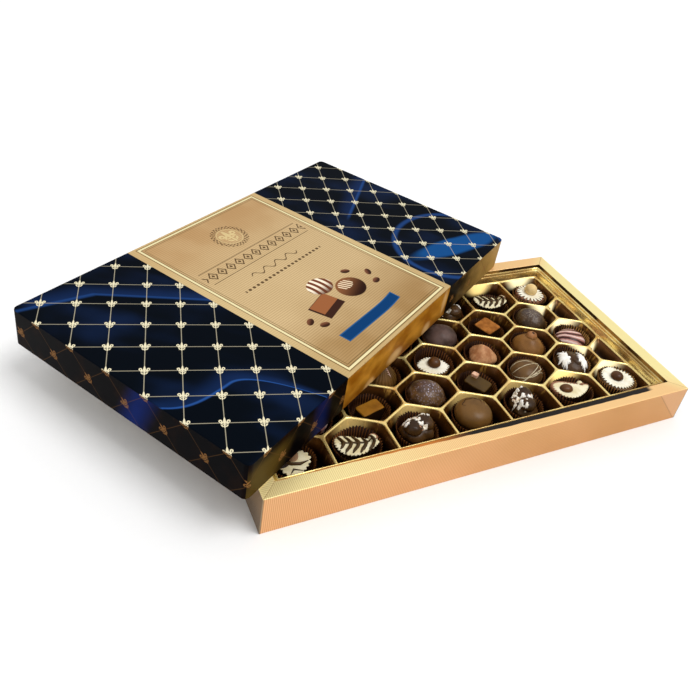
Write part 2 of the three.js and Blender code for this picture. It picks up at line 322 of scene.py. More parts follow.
def makePaper():  # a painted highlight on each fold's crest, dark in its crease
    kit, place = startFinish("cupPaper")
    u, v = ownPoint(kit, "local")
    grain = kit.noise(place, 900, 4.0, 0.6)
    broad = kit.noise(place, 90, 2.0)
    # painted highlight, golden for the cups towards the tray's right
    litFromRight = kit.step(trayPoint(kit, place)[0], 262, 318)
    turn = kit.math("ARCTAN2", v, u) * cups["pleats"]
    crest = kit.step(kit.cosine(turn), 0.1, 0.95)
    colour = kit.mix(broad * 0.6 + grain * 0.4, (24, 8, 2), (46, 22, 8))
    # painted highlight on the pleat crests
    shine = kit.mix(litFromRight, (124, 74, 30), (214, 158, 84))
    colour = kit.mix(crest * (0.25 + broad * 0.3 + grain * 0.35), colour, shine)
    values = {"Base Color": colour, "Roughness": 0.6 + (grain - 0.5) * 0.3, "Specular IOR Level": 0.1}
    return endFinish(kit, values, grain, 0.06 * mm, 0.5)


food = {name: makeFood(name, *row) for name, row in foodTones.items()}
food["speckledShell"] = makeSpeckled("speckledShell", (96, 68, 38), (60, 38, 18), (196, 192, 212))
food["starShell"] = makeSpeckled("starShell", (78, 56, 30), (48, 31, 12), (150, 142, 130))
food["stripedShell"] = makeStriped("stripedShell", (184, 128, 116), (62, 28, 20))
food["cupPaper"] = makePaper()
print("food finishes made")


def startTree(name, **inputs):  # its kit, the shape that comes in, the inputs
    tree = bpy.data.node_groups.new(name, "GeometryNodeTree")
    for label, kind in dict(shape="Geometry", **inputs).items():
        tree.interface.new_socket(label, in_out="INPUT", socket_type="NodeSocket" + kind)
    tree.interface.new_socket("result", in_out="OUTPUT", socket_type="NodeSocketGeometry")
    kit = Kit(tree)
    given = kit.add("NodeGroupInput")
    return (kit, given.of("shape"), *(given.of(label) for label in inputs))


def endTree(kit, geometry, material):
    real = kit.add("GeometryNodeRealizeInstances", None, {0: geometry})
    done = kit.add("GeometryNodeSetMaterial", None, {"Geometry": real, "Material": material})
    kit.add("NodeGroupOutput", None, {0: done})
    return kit.tree


def settled(piece):  # a mesh of the piece with its modifiers applied
    return bpy.data.meshes.new_from_object(piece.evaluated_get(bpy.context.evaluated_depsgraph_get()))


def placed(name, mesh):  # a new object in the scene
    piece = bpy.data.objects.new(name, mesh)
    scene.collection.objects.link(piece)
    return piece


def grow(tree, mesh, values):  # the tree's result on a mesh, as a plain mesh
    carrier = placed("carrier", mesh)
    modifier = carrier.modifiers.new("grow", "NODES")
    modifier.node_group = tree
    for item in tree.interface.items_tree:
        if item.in_out == "INPUT" and item.name in values:
            modifier[item.identifier] = values[item.name]
    result = settled(carrier)
    carrier.modifiers.remove(modifier)
    bpy.data.objects.remove(carrier)
    return result


def pleatTree():  # a paper cup: a folded wall on a round foot
    real = "Float"
    kit, _, pleats, foot, mouth, low, rim, fold, wall, squeeze, rough, tilt, seed, material = startTree(
        "pleatedCup", pleats="Int", footRadius=real, mouthRadius=real, foot=real, rim=real, fold=real,
        wall=real, squeeze=real, wave=real, tilt=real, seed=real, material="Material")
    size = {"Size X": 1.0, "Size Y": 1.0, "Vertices X": pleats * 4 + 1, "Vertices Y": 8}
    sheet = kit.add("GeometryNodeMeshGrid", None, size)
    x, y, _ = kit.split(kit.add("GeometryNodeInputPosition"))
    angle = (x + 0.5) * fullTurn
    row = kit.math("ROUND", (y + 0.5) * 7)

    def leg(number):  # 0 to 1 over one step between rows
        return kit.add("ShaderNodeClamp", None, {"Value": row - number})

    # rows: foot centre, foot, middle, rim, rim inside, middle inside, foot inside, floor centre
    middle = (mouth - foot) * 0.55
    radius = foot * leg(0) + middle * leg(1) + (mouth - foot - middle) * leg(2) - wall * leg(3)
    radius = radius - (mouth - foot - middle) * leg(4) - middle * leg(5) - (foot - wall) * leg(6)
    half = (rim - low) * 0.5
    height = low + half * leg(1) + (rim - low - half) * leg(2) - half * leg(4)
    height = height - (rim - low - half - wall) * leg(5)
    climb = (height - low) / (rim - low)
    wave = kit.math("PINGPONG", angle * pleats / fullTurn + 0.25, 0.5) * 2
    crease = kit.noise(kit.join(angle * 3, seed, climb * 2), 1.0, 1.0) - 0.5
    radius = radius * (1 - wave * fold * (0.3 + climb * 0.7) + crease * climb * 0.1)
    tips = (1 - wave) * 0.7 + crease * 2.4
    height = height + rough * climb * climb * tips + tilt * climb * kit.sine(angle)
    place = kit.join(kit.cosine(angle) * radius, kit.sine(angle) * radius * squeeze, height)
    cup = kit.add("GeometryNodeSetPosition", None, {"Geometry": sheet, "Position": place})
    cup = kit.add("GeometryNodeMergeByDistance", None, {"Geometry": cup, "Distance": 0.01})
    return endTree(kit, cup, material)


def pipingTree():  # threads of icing along edges
    kit, shape, radius, sides, material = startTree(
        "piping", radius="Float", sides="Int", material="Material")
    lines = kit.add("GeometryNodeMeshToCurve", None, {"Mesh": shape})
    share = kit.add("GeometryNodeSplineParameter").of("Factor")
    ends = kit.root(kit.most(share * (1 - share) * 4, 0.06))
    swell = kit.noise(kit.add("GeometryNodeInputPosition"), 0.6, 1.0) * 0.5 + 0.75
    profile = kit.add("GeometryNodeCurvePrimitiveCircle", None, {"Resolution": sides, "Radius": 1.0})
    sweep = {"Curve": lines, "Profile Curve": profile, "Fill Caps": True, "Scale": radius * ends * swell}
    return endTree(kit, kit.add("GeometryNodeCurveToMesh", None, sweep), material)


def flakeTree():  # crumbs scattered over a patch
    kit, shape, density, size, seed, material = startTree(
        "flakes", density="Float", size="Float", seed="Int", material="Material")

    def drawn(low, high):
        values = {"Min": low, "Max": high, "Seed": seed}
        return kit.add("FunctionNodeRandomValue", {"data_type": "FLOAT_VECTOR"}, values)

    spots = {"Mesh": shape, "Density": density, "Seed": seed}
    points = kit.add("GeometryNodeDistributePointsOnFaces", None, spots)
    chip = kit.add("GeometryNodeMeshIcoSphere", None, {"Radius": 1.0, "Subdivisions": 1})
    scaled = kit.vector("MULTIPLY", drawn((0.7, 0.45, 0.3), (1.5, 0.95, 0.6)), kit.join(size, size, size))
    twist = drawn((0, 0, 0), (6.28, 6.28, 6.28))
    laid = {"Points": points, "Instance": chip, "Rotation": twist, "Scale": scaled}
    return endTree(kit, kit.add("GeometryNodeInstanceOnPoints", None, laid), material)


trees = {"cup": pleatTree(), "piping": pipingTree(), "flakes": flakeTree()}
print("geometry trees built")


def roundLine(angle):
    return math.cos(angle), math.sin(angle)


def ovalLine(ratio):
    return lambda angle: (math.cos(angle), ratio * math.sin(angle))


def slabLine(ratio, power=0.35):
    def line(angle):
        x, y = math.cos(angle), math.sin(angle)
        return math.copysign(abs(x) ** power, x), ratio * math.copysign(abs(y) ** power, y)
    return line


def lensLine(ratio):
    def line(angle):
        rise = math.sin(angle)
        return math.cos(angle), ratio * rise * abs(rise) ** 0.4
    return line


def dropLine(angle):
    along = math.cos(angle)
    return along, math.sin(angle) * (0.5 - 0.26 * along) + 0.22 * along * along - 0.08


def lobedLine(base, *lobes):
    def line(angle):
        reach = base + sum(size * math.cos(count * angle + start) for size, count, start in lobes)
        return reach * math.cos(angle), reach * math.sin(angle)
    return line


trefoilLine = lobedLine(0.92, (0.1, 3, 0))
lumpyLine = lobedLine(0.9, (0.09, 2, 0.5), (0.06, 5, 0))


def toothed(line, count, depth):  # a line nibbled by the folds of the cup
    def bitten(angle):
        x, y = line(angle)
        bite = depth * max(0.0, math.cos(count * angle)) ** 0.7
        return x * (1 - bite), y * (1 - bite)
    return bitten


domeRings = [(0.93, 0), (1, 0.25), (0.95, 0.45), (0.84, 0.64), (0.66, 0.81), (0.42, 0.93), (0.2, 0.985),
             (0, 1)]
blockRings = [(1, 0), (1.005, 0.5), (1, 0.84), (0.985, 0.94), (0.95, 0.99), (0.9, 1), (0.5, 1.005), (0, 1.01)]
faceRings = [(0.92, 0), (1, 0.6), (0.995, 0.85), (0.965, 0.97), (0.9, 1), (0.6, 0.99), (0.3, 0.97), (0, 0.96)]
knobRings = [(0.7, 0), (1, 0.35), (0.98, 0.55), (0.8, 0.8), (0.5, 0.95), (0.25, 0.99), (0, 1)]
coneRings = [(0.96, 0), (0.93, 0.2), (0.8, 0.45), (0.56, 0.7), (0.34, 0.88), (0.16, 0.97), (0, 1)]


def bands(rows, sides, first=0):  # quads between rings of points
    for low in range(first, first + rows * sides, sides):
        for k in range(sides):
            a, b = low + k, low + (k + 1) % sides
            yield a, b, b + sides, a + sides


def stack(layers):  # the points and faces of several layers as one
    points, faces = [], []
    for found, sides, _ in layers:
        faces += [tuple(k + len(points) for k in face) for face in sides]
        points += [tuple(p) for p in found]
    return points, faces


def arc(x, y, wide, deep, start, end, parts):  # points on part of an oval
    return [(x + wide * math.cos(t), y + deep * math.sin(t)) for t in np.linspace(start, end, parts)]


aboveAll = 60  # mm, higher than any piece


def under(tree, x, y):  # the surface below a point, if any
    return tree.ray_cast(Vector((x, y, aboveAll)), Vector((0, 0, -1)))[0]


class Sweet:  # gathers the layers of one praline, in mm
    def __init__(self, seed):
        self.seed = seed
        self.layers = []  # points, faces, finish name

    def mound(self, line, radius, height, rings, finish, at=(0, 0, 0), sides=56, foot=7.0, lump=0.18,
              turn=0.0, top=None):
        spots = np.array([(rings[0][0] * 0.9, -foot / height)] + list(rings))
        count = 2 * len(spots) - 1
        steps = np.linspace(0, len(spots) - 1, count)
        widths, rises = (np.interp(steps, range(len(spots)), column) for column in spots.T)
        for heights in (widths, rises):  # round the half steps outwards
            for k in range(3, count - 2, 2):
                near, far = heights[k - 1] + heights[k + 1], heights[k - 3] + heights[min(k + 3, count - 1)]
                heights[k] = (9 * near - far) / 16
        points = [(0, 0, -foot)]
        for width, rise in zip(widths[:-1], rises[:-1]):
            for k in range(sides):
                x, y = line(fullTurn * k / sides)
                points.append((x * radius * width, y * radius * width, rise * height))
        points.append((0, 0, rises[-1] * height))
        faces = list(bands(count - 2, sides, 1))
        last = 1 + (count - 2) * sides
        for k in range(sides):
            faces.append((0, 1 + (k + 1) % sides, 1 + k))
            faces.append((last + k, last + (k + 1) % sides, len(points) - 1))
        spun = Matrix.Rotation(turn, 3, "Z")
        moved = []
        for p in points:
            q = spun @ Vector(p)
            shake = noise.noise_vector(q * 0.22 + Vector((self.seed * 7.3, 0, 0))) * lump
            shake += noise.noise_vector(q * 0.7 + Vector((0, self.seed * 3.1, 0))) * lump * 0.35
            moved.append(tuple(q + shake + Vector(at)))
        if top:  # another finish on the flat top
            level = [np.mean([points[k][2] for k in face]) > 0.93 * height for face in faces]
            finish = [top if high else finish for high in level]
        self.layers.append([np.array(moved), faces, finish])
        return len(self.layers) - 1

    def knob(self, radius, height, finish, at, line=roundLine, rings=knobRings, foot=1, **more):
        return self.mound(line, radius, height, rings, finish, at=at, foot=foot, **more)

    def filled(self, line, teeth, bite, radius, height, top, sides):  # a face nibbled by the cup's folds
        shape = toothed(line, teeth, bite)
        return self.mound(shape, radius, height, faceRings, "shadeShell", sides=sides, top=top)

    def drape(self, line, radius, at, over, thick, finish, sides=72):  # a thin patch laid on a dome
        tree = self.surface(*over)
        rings = [(1.02, -0.5), (1.03, 0.1), (0.96, 0.75), (0.82, 1.0), (0.5, 1.05), (0.2, 1.05)]
        points = []
        for width, rise in rings:
            for k in range(sides):
                x, y = line(fullTurn * k / sides)
                x, y = x * radius * width + at[0], y * radius * width + at[1]
                hit = under(tree, x, y)
                points.append((x, y, (hit.z if hit else 0) + rise * thick))
        last = (len(rings) - 1) * sides
        faces = list(bands(len(rings) - 1, sides))
        faces += [tuple(range(sides - 1, -1, -1)), tuple(range(last, last + sides))]
        self.layers.append([np.array(points), faces, finish])
        return len(self.layers) - 1

    def surface(self, *numbers):  # what threads and flakes are laid on
        return BVHTree.FromPolygons(*stack(self.layers[number] for number in numbers))

    def take(self, mesh, finish):
        points = np.zeros(len(mesh.vertices) * 3)
        mesh.vertices.foreach_get("co", points)
        self.layers.append([points.reshape(-1, 3), [tuple(p.vertices) for p in mesh.polygons], finish])
        bpy.data.meshes.remove(mesh)

    def pipe(self, lines, radius, finish, over, sink=0.3, sides=6):
        tree = self.surface(*over)
        points, edges = [], []
        for line in lines:
            before = None
            for x, y in line:
                hit = under(tree, x, y)
                if hit is None or hit.z < 0.5:
                    before = None
                    continue
                points.append(hit + Vector((0, 0, radius * sink)))
                if before is not None:
                    edges.append((before, len(points) - 1))
                before = len(points) - 1
        if not edges:
            return
        mesh = bpy.data.meshes.new("threads")
        mesh.from_pydata(points, edges, [])
        values = {"radius": radius, "sides": sides, "material": food[finish]}
        self.take(grow(trees["piping"], mesh, values), finish)

    def scatter(self, number, test, density, size, finish, seed=1):
        points, faces, _ = self.layers[number]
        kept = [face for face in faces if test(*np.mean(points[list(face)], axis=0))]
        mesh = bpy.data.meshes.new("patch")
        mesh.from_pydata([tuple(p) for p in points], [], kept)
        values = {"density": density, "size": size, "seed": self.seed * 31 + seed, "material": food[finish]}
        self.take(grow(trees["flakes"], mesh, values), finish)


def almondCream(s):
    face = s.filled(trefoilLine, 20, 0.12, 12.6, 6, "creamFilling", 100)
    s.knob(4.3, 9.5, "almondSkin", (1.5, 3.5, 4), rings=coneRings)
    s.knob(7.6, 2.4, "shadeShell", (-4.6, 3.4, 4.6), ovalLine(0.62), lump=0.6, turn=0.5)
    stripes = [[(-10, 6), (-7, 2), (-2, -1.5), (3, -4), (9, -4)], [(-10, 9), (-4, 6.5), (0, 8)]]
    s.pipe(stripes, 1.2, "darkPiping", [face])
    s.pipe([[(-7, -9), (-3, -6), (2, -9.5)], [(6, -9), (8.5, -6), (10, -1)]], 0.8, "darkPiping", [face])


def thicken(line, parts=5):  # more points along a bent line
    points = []
    for (x0, y0), (x1, y1) in zip(line, line[1:]):
        points += [(x0 + (x1 - x0) * t, y0 + (y1 - y0) * t) for t in np.linspace(0, 1, parts, endpoint=False)]
    return points + [line[-1]]


def zebraDrop(s):
    rings = [(0.9, 0), (0.97, 0.45), (0.94, 0.7), (0.82, 0.9), (0.6, 1), (0.3, 1.03), (0, 1.04)]
    s.mound(dropLine, 16.4, 6.4, rings, "duskShell", at=(0, 0.9, 0), sides=72)
    face = s.filled(dropLine, 34, 0.09, 15.6, 7.4, "creamFilling", 136)
    lump = s.knob(3.3, 6, "creamFilling", (11.2, 4.2, 4.2))
    bend = [(-2.6, 8.0), (0.4, 4.6), (2.6, 1.4), (1.0, -1.8), (-1.6, -5.0), (-3.0, -7.5)]
    lines = [[(x - 11.5 + k * 5.1, y) for x, y in bend] for k in range(5)]
    s.pipe([thicken(line) for line in lines], 1.35, "darkPiping", [face, lump], sink=0.1)
    s.pipe([thicken([(-12, 0.6), (-4, 1.6), (4, 1.2), (11, 3)])], 0.8, "darkPiping", [face, lump], sink=0.1)
    hook = [(8.8, 6.2), (10.8, 7.4), (13.6, 6.2), (13.8, 3.4), (11.8, 1.8)]
    s.pipe([thicken(hook)], 0.65, "rosyRim", [face, lump])


def nutCluster(s):
    body = s.mound(lumpyLine, 12.6, 8.5, domeRings, "darkShell", lump=0.9)
    left = s.knob(6.6, 8, "darkShell", (-5.2, 0.5, 4), foot=2, lump=0.5)
    right = s.knob(6.6, 7.4, "darkShell", (5.4, -1.0, 4), foot=2, lump=0.5)
    near = lambda x, y, z: z > 4 and abs(x - y * 0.2) < 2.6
    crest = lambda x, y, z: z > 5 and y > 1.5 and abs(x) < 10
    chunk = lobedLine(0.8, (0.2, 2, 0.7), (0.14, 3, 1.3), (0.1, 7, 0.4))
    spots = [(-0.6, 6.2, 2.1), (0.3, 2.6, 2.5), (-0.8, -1.6, 2.2), (0.6, -5.0, 1.8), (-6.4, 6.4, 2.2),
             (-9.2, 3.4, 1.6), (4.6, 6.6, 2.3), (8.4, 4.4, 2.0), (9.6, 0.6, 1.3), (-3.2, 8.4, 1.5)]
    for number, (x, y, size) in enumerate(spots):
        finish = "snowPatch" if number % 3 else "milkFlake"
        s.drape(chunk, size, (x, y), [body, left, right], 1.0, finish, sides=30)
    for number, layer in enumerate((body, left, right)):
        s.scatter(layer, near, 0.035, 1.0, "nutFlake", 2 + number)
        s.scatter(layer, crest, 0.05, 1.1, "milkFlake", 22 + number)


def cappedBall(s):
    ball = [(0.86, 0), (0.97, 0.2), (1, 0.4), (0.95, 0.6), (0.82, 0.78), (0.6, 0.91), (0.32, 0.98), (0, 1)]
    body = s.mound(roundLine, 13.5, 14, ball, "oliveShell", lump=0.08, sides=64)
    ring = []
    for t in np.linspace(-0.6, 3.5, 44):
        wide, deep = 7.2 + 0.5 * math.sin(5 * t), 4.6 + 0.5 * math.sin(7 * t)
        ring.append((wide * math.cos(t) - 0.5, 3.4 + deep * math.sin(t)))
    s.pipe([ring], 0.32, "shadeShell", [body], sink=0.1)


def creamBean(s):
    shell = s.mound(dropLine, 16.2, 6.4, faceRings, "rosyRim", at=(0, 1.3, 0), sides=72)
    s.filled(dropLine, 34, 0.1, 15.4, 6.8, "creamFilling", 136)
    s.knob(5.3, 5.0, "ballShell", (-5.6, 0.2, 5), ovalLine(0.78), lump=0.08)
    s.pipe([arc(9.4, 6.2, 2.9, 2.6, -2.2, 3.2, 20)], 1.0, "rosyRim", [shell], sink=0.5)
    s.knob(2.4, 3.4, "creamFilling", (9.4, 5.6, 4.4))


def creamRound(s):
    shell = s.mound(roundLine, 13.6, 6.0, faceRings, "duskShell")
    s.filled(lobedLine(0.97, (0.04, 2, 0.6), (0.03, 3, 1)), 28, 0.16, 13.1, 7, "whiteFilling", 140)
    s.knob(4.9, 6.2, "ballShell", (-0.5, 0.6, 5.5), lump=0.08)
    s.pipe([thicken([(-8, 9), (-4, 11), (1, 11.6), (6, 10)])], 1.0, "whiteFilling", [shell], sink=0.6)


def goldenBlock(s):
    s.mound(slabLine(0.54, 0.2), 9.8, 9, blockRings, "shadeShell", sides=72, lump=0.2, top="goldenShell")


def speckledDome(s):
    s.mound(lobedLine(0.98, (0.04, 2, 0.4)), 13.9, 13, domeRings, "speckledShell", sides=64, lump=0.4)


def squareBlock(s):
    s.mound(slabLine(0.75, 0.2), 9.2, 10, blockRings, "shadeShell", sides=72, lump=0.25, top="blackShell")
    s.knob(2.5, 3.0, "nutFlake", (-5.2, 4.2, 9.3), slabLine(0.85), blockRings, lump=0.3, sides=24)


def sagging(slope, drop, level, radius=13.4, height=12.3):  # a thread that hangs over a dome
    line = []
    turn = math.radians(25)
    for x in np.linspace(-radius, radius, 40):
        y = np.linspace(-radius, radius, 120)
        high = height * np.sqrt(np.maximum(1 - (x * x + y * y) / radius ** 2, 0))
        over = np.nonzero(y + drop * high - slope * x - level > 0)[0]
        if len(over):
            v = y[over[0]]
            line.append((x * math.cos(turn) + v * math.sin(turn), v * math.cos(turn) - x * math.sin(turn)))
    return line


def drizzledDome(s):
    body = s.mound(ovalLine(0.92), 13.8, 12.3, domeRings, "duskShell", sides=64)
    threads = ((-0.71, -0.82, -4.8), (0.04, 0.16, 1.8), (0.6, 0.5, -2.0), (0.36, 0.36, -5.3),
               (0.16, 0.2, -7.2), (0.59, 2.15, 8.2))
    s.pipe([sagging(*thread) for thread in threads], 0.3, "whitePiping", [body])


def whitePatch(s):
    body = s.mound(roundLine, 13.6, 9.6, domeRings, "darkShell", lump=0.4)
    s.knob(4.4, 9.6, "darkShell", (0, -0.6, 1.4), ovalLine(1.9), foot=2, lump=0.4)
    ragged = lobedLine(0.84, (0.12, 9, 0.4), (0.12, 14, 1.0), (0.1, 5, 2.0), (0.06, 23, 0))
    lean = math.radians(-24)
    c, d = math.cos(lean), math.sin(lean)
    for side in (-1, 1):
        def tall(angle, side=side):  # a tall column that leans as the pair does
            x, y = ragged(angle * side)
            return x * 0.46 * c - y * d, x * 0.46 * d + y * c
        centre = (7.4 * side * c - 0.5, 7.4 * side * d - 0.8)
        s.drape(tall, 9.4, centre, [body], 1.4, "snowPatch", sides=132)


def ribbedCone(s):
    body = s.mound(lobedLine(0.96, (0.025, 26, 0)), 13.0, 13, coneRings, "oliveShell", sides=156, lump=0.1)
    marks = [arc(0.4 * k, -5 - 1.3 * k, 2.5, 2.5, 0.2, 1.6, 3) for k in range(4)]
    s.pipe(marks, 0.3, "rosyPiping", [body])


def creamLens(s):
    s.mound(lensLine(0.78), 13.6, 5.2, faceRings, "duskShell", sides=64)
    s.filled(lensLine(0.76), 30, 0.14, 13.3, 6, "whiteFilling", 150)
    s.knob(5.0, 7.2, "ballShell", (1.0, 1.4, 4.4), lump=0.06)


def milkTrefoil(s):
    rings = [(0.95, 0), (1, 0.14), (0.88, 0.36), (0.68, 0.58), (0.46, 0.78), (0.27, 0.92), (0.13, 0.985),
             (0, 1)]
    s.mound(toothed(trefoilLine, 24, 0.045), 12.1, 12.0, rings, "rosyMilk", sides=96, lump=0.35)


def nutDome(s):
    hat = [(0.96, 0), (1, 0.16), (0.94, 0.36), (0.78, 0.58), (0.58, 0.77), (0.4, 0.9), (0.2, 0.97), (0, 0.99)]
    body = s.mound(roundLine, 13.3, 12.8, hat, "milkShell", sides=64, lump=0.15)
    s.knob(4.2, 5.8, "nutSkin", (1.5, 1.5, 9.8), lobedLine(1, (0.08, 2, 0), (0.06, 3, 1)), lump=0.4)
    s.knob(1.3, 0.9, "shadeShell", (1.9, 0.9, 15.0), foot=0.4, lump=0.2, sides=16)
    s.pipe([arc(1.5, 1.5, 4.6, 4.6, 0, 6.28, 30)], 0.5, "milkShell", [body])


def stripedDome(s):
    s.mound(ovalLine(0.88), 13.4, 11.5, domeRings, "stripedShell", sides=64)


def plumDome(s):
    s.mound(lobedLine(0.97, (0.06, 2, 0.3)), 13.9, 12.5, domeRings, "plumShell", sides=64, lump=0.45)


def cocoaDiamond(s):
    s.mound(slabLine(0.95, 0.2), 8.6, 10.5, blockRings, "shadeShell", sides=72, lump=0.25, top="cocoaDust")


def starDome(s):
    body = s.mound(roundLine, 13.2, 12.6, domeRings, "starShell", sides=64, lump=0.3)
    rays = []
    for k in range(9):
        turn = fullTurn * k / 9 + 0.3
        c, d = math.cos(turn), math.sin(turn)
        reach = (6.6, 4.4, 5.4)[k % 3]
        rays.append([(-1 + t * c, -1.5 + t * d) for t in np.linspace(0.4, reach, 6)])
    s.pipe(rays, 0.3, "greyPiping", [body])
    s.scatter(body, lambda x, y, z: x * x + y * y < 80 and z > 5, 0.1, 0.4, "greyPiping")


def creamPeak(s):
    s.mound(lobedLine(0.95, (0.035, 20, 0)), 13.4, 6.0, faceRings, "rosyRim", sides=120)
    s.filled(lobedLine(0.95, (0.05, 10, 0)), 20, 0.34, 12.8, 6.9, "whiteFilling", 140)
    s.knob(5.6, 9.8, "peakFilling", (0.5, 1, 5), lump=0.1)


# kind: its maker, its record slot, and its cup: mouth radius, rim height, squeeze in Y, rise at the back
kinds = {
    "almond_cream": (almondCream, "cream_filling", 15.4, 14.5, 1.0, 1.0),
    "zebra_drop": (zebraDrop, "dark_chocolate", 17.4, 14.5, 0.86, 1.0),
    "nut_cluster": (nutCluster, "dark_chocolate", 15.4, 15.0, 1.0, 1.5),
    "capped_ball": (cappedBall, "milk_chocolate", 15.4, 14.5, 1.0, 1.5),
    "cream_bean": (creamBean, "cream_filling", 17.4, 17.0, 0.86, -0.6),
    "cream_round": (creamRound, "cream_filling", 15.6, 17.6, 1.0, -0.9),
    "golden_block": (goldenBlock, "milk_chocolate", 15.6, 13.0, 1.0, 0.5),
    "speckled_dome": (speckledDome, "dark_chocolate", 15.4, 14.5, 1.0, 1.5),
    "square_block": (squareBlock, "dark_chocolate", 15.6, 13.5, 1.0, 0.5),
    "drizzled_dome": (drizzledDome, "dark_chocolate", 15.6, 16.5, 1.0, 2.0),
    "white_patch": (whitePatch, "dark_chocolate", 15.6, 17.0, 1.0, 2.0),
    "ribbed_cone": (ribbedCone, "milk_chocolate", 15.4, 14.5, 1.0, 1.0),
    "cream_lens": (creamLens, "cream_filling", 16.0, 17.2, 0.97, 2.2),
    "milk_trefoil": (milkTrefoil, "milk_chocolate", 15.4, 15.0, 1.0, 1.5),
    "nut_dome": (nutDome, "milk_chocolate", 15.4, 15.0, 1.0, 2.0),
    "striped_dome": (stripedDome, "milk_chocolate", 15.6, 16.5, 1.0, -0.4),
    "plum_dome": (plumDome, "dark_chocolate", 15.4, 15.0, 1.0, 1.5),
    "cocoa_diamond": (cocoaDiamond, "milk_chocolate", 15.6, 13.5, 1.0, 0.5),
    "star_dome": (starDome, "dark_chocolate", 15.4, 15.5, 1.0, 1.5),
    "cream_peak": (creamPeak, "cream_filling", 15.6, 16.0, 1.0, -0.8),
}

# each row front to back: kind, turn in degrees, and where it differs from 0, lift and setback in mm
filling = [
    [("almond_cream", 10, -4.5), ("zebra_drop", -14, -4.5), ("nut_cluster", 20), ("capped_ball", 0),
     ("nut_cluster", 75), ("cream_bean", -10), ("cream_round", 0)],
    [("striped_dome", 30), ("golden_block", 14, -5.5), ("speckled_dome", 0), ("square_block", -62, -5),
     ("drizzled_dome", 25), ("white_patch", 0)],
    [("cream_round", 30), ("cocoa_diamond", 40), ("ribbed_cone", 0), ("cream_lens", -14, -3.5),
     ("milk_trefoil", 90), ("nut_dome", 0), ("striped_dome", -10, -3.5)],
    [("nut_dome", 50), ("white_patch", 60), ("cream_bean", 20), ("plum_dome", 15),
     ("cocoa_diamond", 22, -3.5), ("star_dome", 0)],
    [("capped_ball", 0), ("drizzled_dome", -20), ("cream_lens", -10), ("square_block", 12),
     ("nut_cluster", -30), ("zebra_drop", -14), ("cream_peak", 0, 0, 3.5)],
]

lattice = {"pitchX": 45.3, "pitchY": 28.2, "sideEdge": 16.0, "middleX": 169.2, "middleY": 92.0}


def cellCentre(row, index):
    size = len(filling[row])
    x = lattice["middleX"] + lattice["pitchX"] * (index - (size - 1) / 2)
    y = lattice["middleY"] + lattice["pitchY"] * (row - (len(filling) - 1) / 2)
    return x, y


def buildPraline(row, index, kind, degrees, lift=0, back=0):
    maker, slot, mouth, rim, squeeze, tilt = kinds[kind]
    seed = row * 10 + index + 1
    sweet = Sweet(seed)
    maker(sweet)
    local = [found[:, :2] for found, _, _ in sweet.layers]
    spun = np.array(Matrix.Rotation(math.radians(degrees), 3, "Z"))
    for layer in sweet.layers:
        layer[0] = layer[0] @ spun.T
        layer[0][:, 2] = np.maximum(layer[0][:, 2] + cups["seat"] + lift, cups["foot"] + 0.4)
    values = dict(cups, mouthRadius=mouth, rim=rim, squeeze=squeeze, tilt=tilt, seed=seed * 1.7,
                  material=food["cupPaper"])
    sweet.take(grow(trees["cup"], bpy.data.meshes.new("cup"), values), "cupPaper")
    local = np.vstack(local + [sweet.layers[-1][0][:, :2]])
    points, faces = stack(sweet.layers)
    finishes = []
    for _, sides, finish in sweet.layers:
        finishes += finish if isinstance(finish, list) else [finish] * len(sides)
    x, y = cellCentre(row, index)
    everything = (np.array(points) + np.array((x, y + back, 0))) * mm
    everything[:, :2] += np.array((trayCorner.x, trayCorner.y))
    node = f"{'abcde'[row]}{index + 1}_{kind}"
    mesh = bpy.data.meshes.new(f"{node}_dressed")
    mesh.from_pydata([tuple(p) for p in everything], [], faces)
    used = sorted(set(finishes))
    for name in used:
        mesh.materials.append(food[name])
    mesh.polygons.foreach_set("material_index", [used.index(name) for name in finishes])
    mesh.polygons.foreach_set("use_smooth", [name not in ("nutFlake", "milkFlake") for name in finishes])
    spots = mesh.uv_layers.new(name="local")
    corners = np.zeros(len(mesh.loops), dtype=np.int32)
    mesh.loops.foreach_get("vertex_index", corners)
    spots.uv.foreach_set("vector", local[corners].ravel())
    mesh.update()
    piece = placed(f"{node}_dressed", mesh)
    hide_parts(node)
    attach(piece, "root")


for rowNumber, sweets in enumerate(filling):
    for number, entry in enumerate(sweets):
        buildPraline(rowNumber, number, *entry)
print("pralines and cups built")


insert = {
    "ridgeTop": 20.5,
    "floor": 2.3,
    "recessFloor": 8.0,
    "fieldMargin": 15.4,
    "length": 340.0,
    "depth": 187.0,
    "edgeParts": 8,  # points along each side of a cell
    "film": 0.5,
}
half, edge = lattice["pitchX"] / 2, lattice["sideEdge"] / 2  # of a cell
point = lattice["pitchY"] - lattice["sideEdge"]  # from a side edge's end to the tip
margin = insert["fieldMargin"]


def cellCorners(row, index):
    x, y = cellCentre(row, index)
    left, right = max(x - half, margin), min(x + half, insert["length"] - margin)
    lowLeft = y - edge - (left - (x - half)) * point / half
    lowRight = y - edge - (x + half - right) * point / half
    front = [(left, lowLeft), (x, y - edge - point), (right, lowRight)]
    behind = [(u, 2 * y - v) for u, v in reversed(front)]
    if row == 0:
        return [(left, margin), (right, margin)] + behind
    if row == len(filling) - 1:
        return front + [(right, insert["depth"] - margin), (left, insert["depth"] - margin)]
    return front + behind


def endCorners(row, side):
    x, y = cellCentre(row, len(filling[row]) - 1 if side > 0 else 0)
    inner = x + side * half
    outer = insert["length"] - margin if side > 0 else margin
    spread = edge + abs(outer - inner) * point / half
    corners = [(inner, y - edge), (outer, y - spread), (outer, y + spread), (inner, y + edge)]
    return corners if side > 0 else corners[::-1]


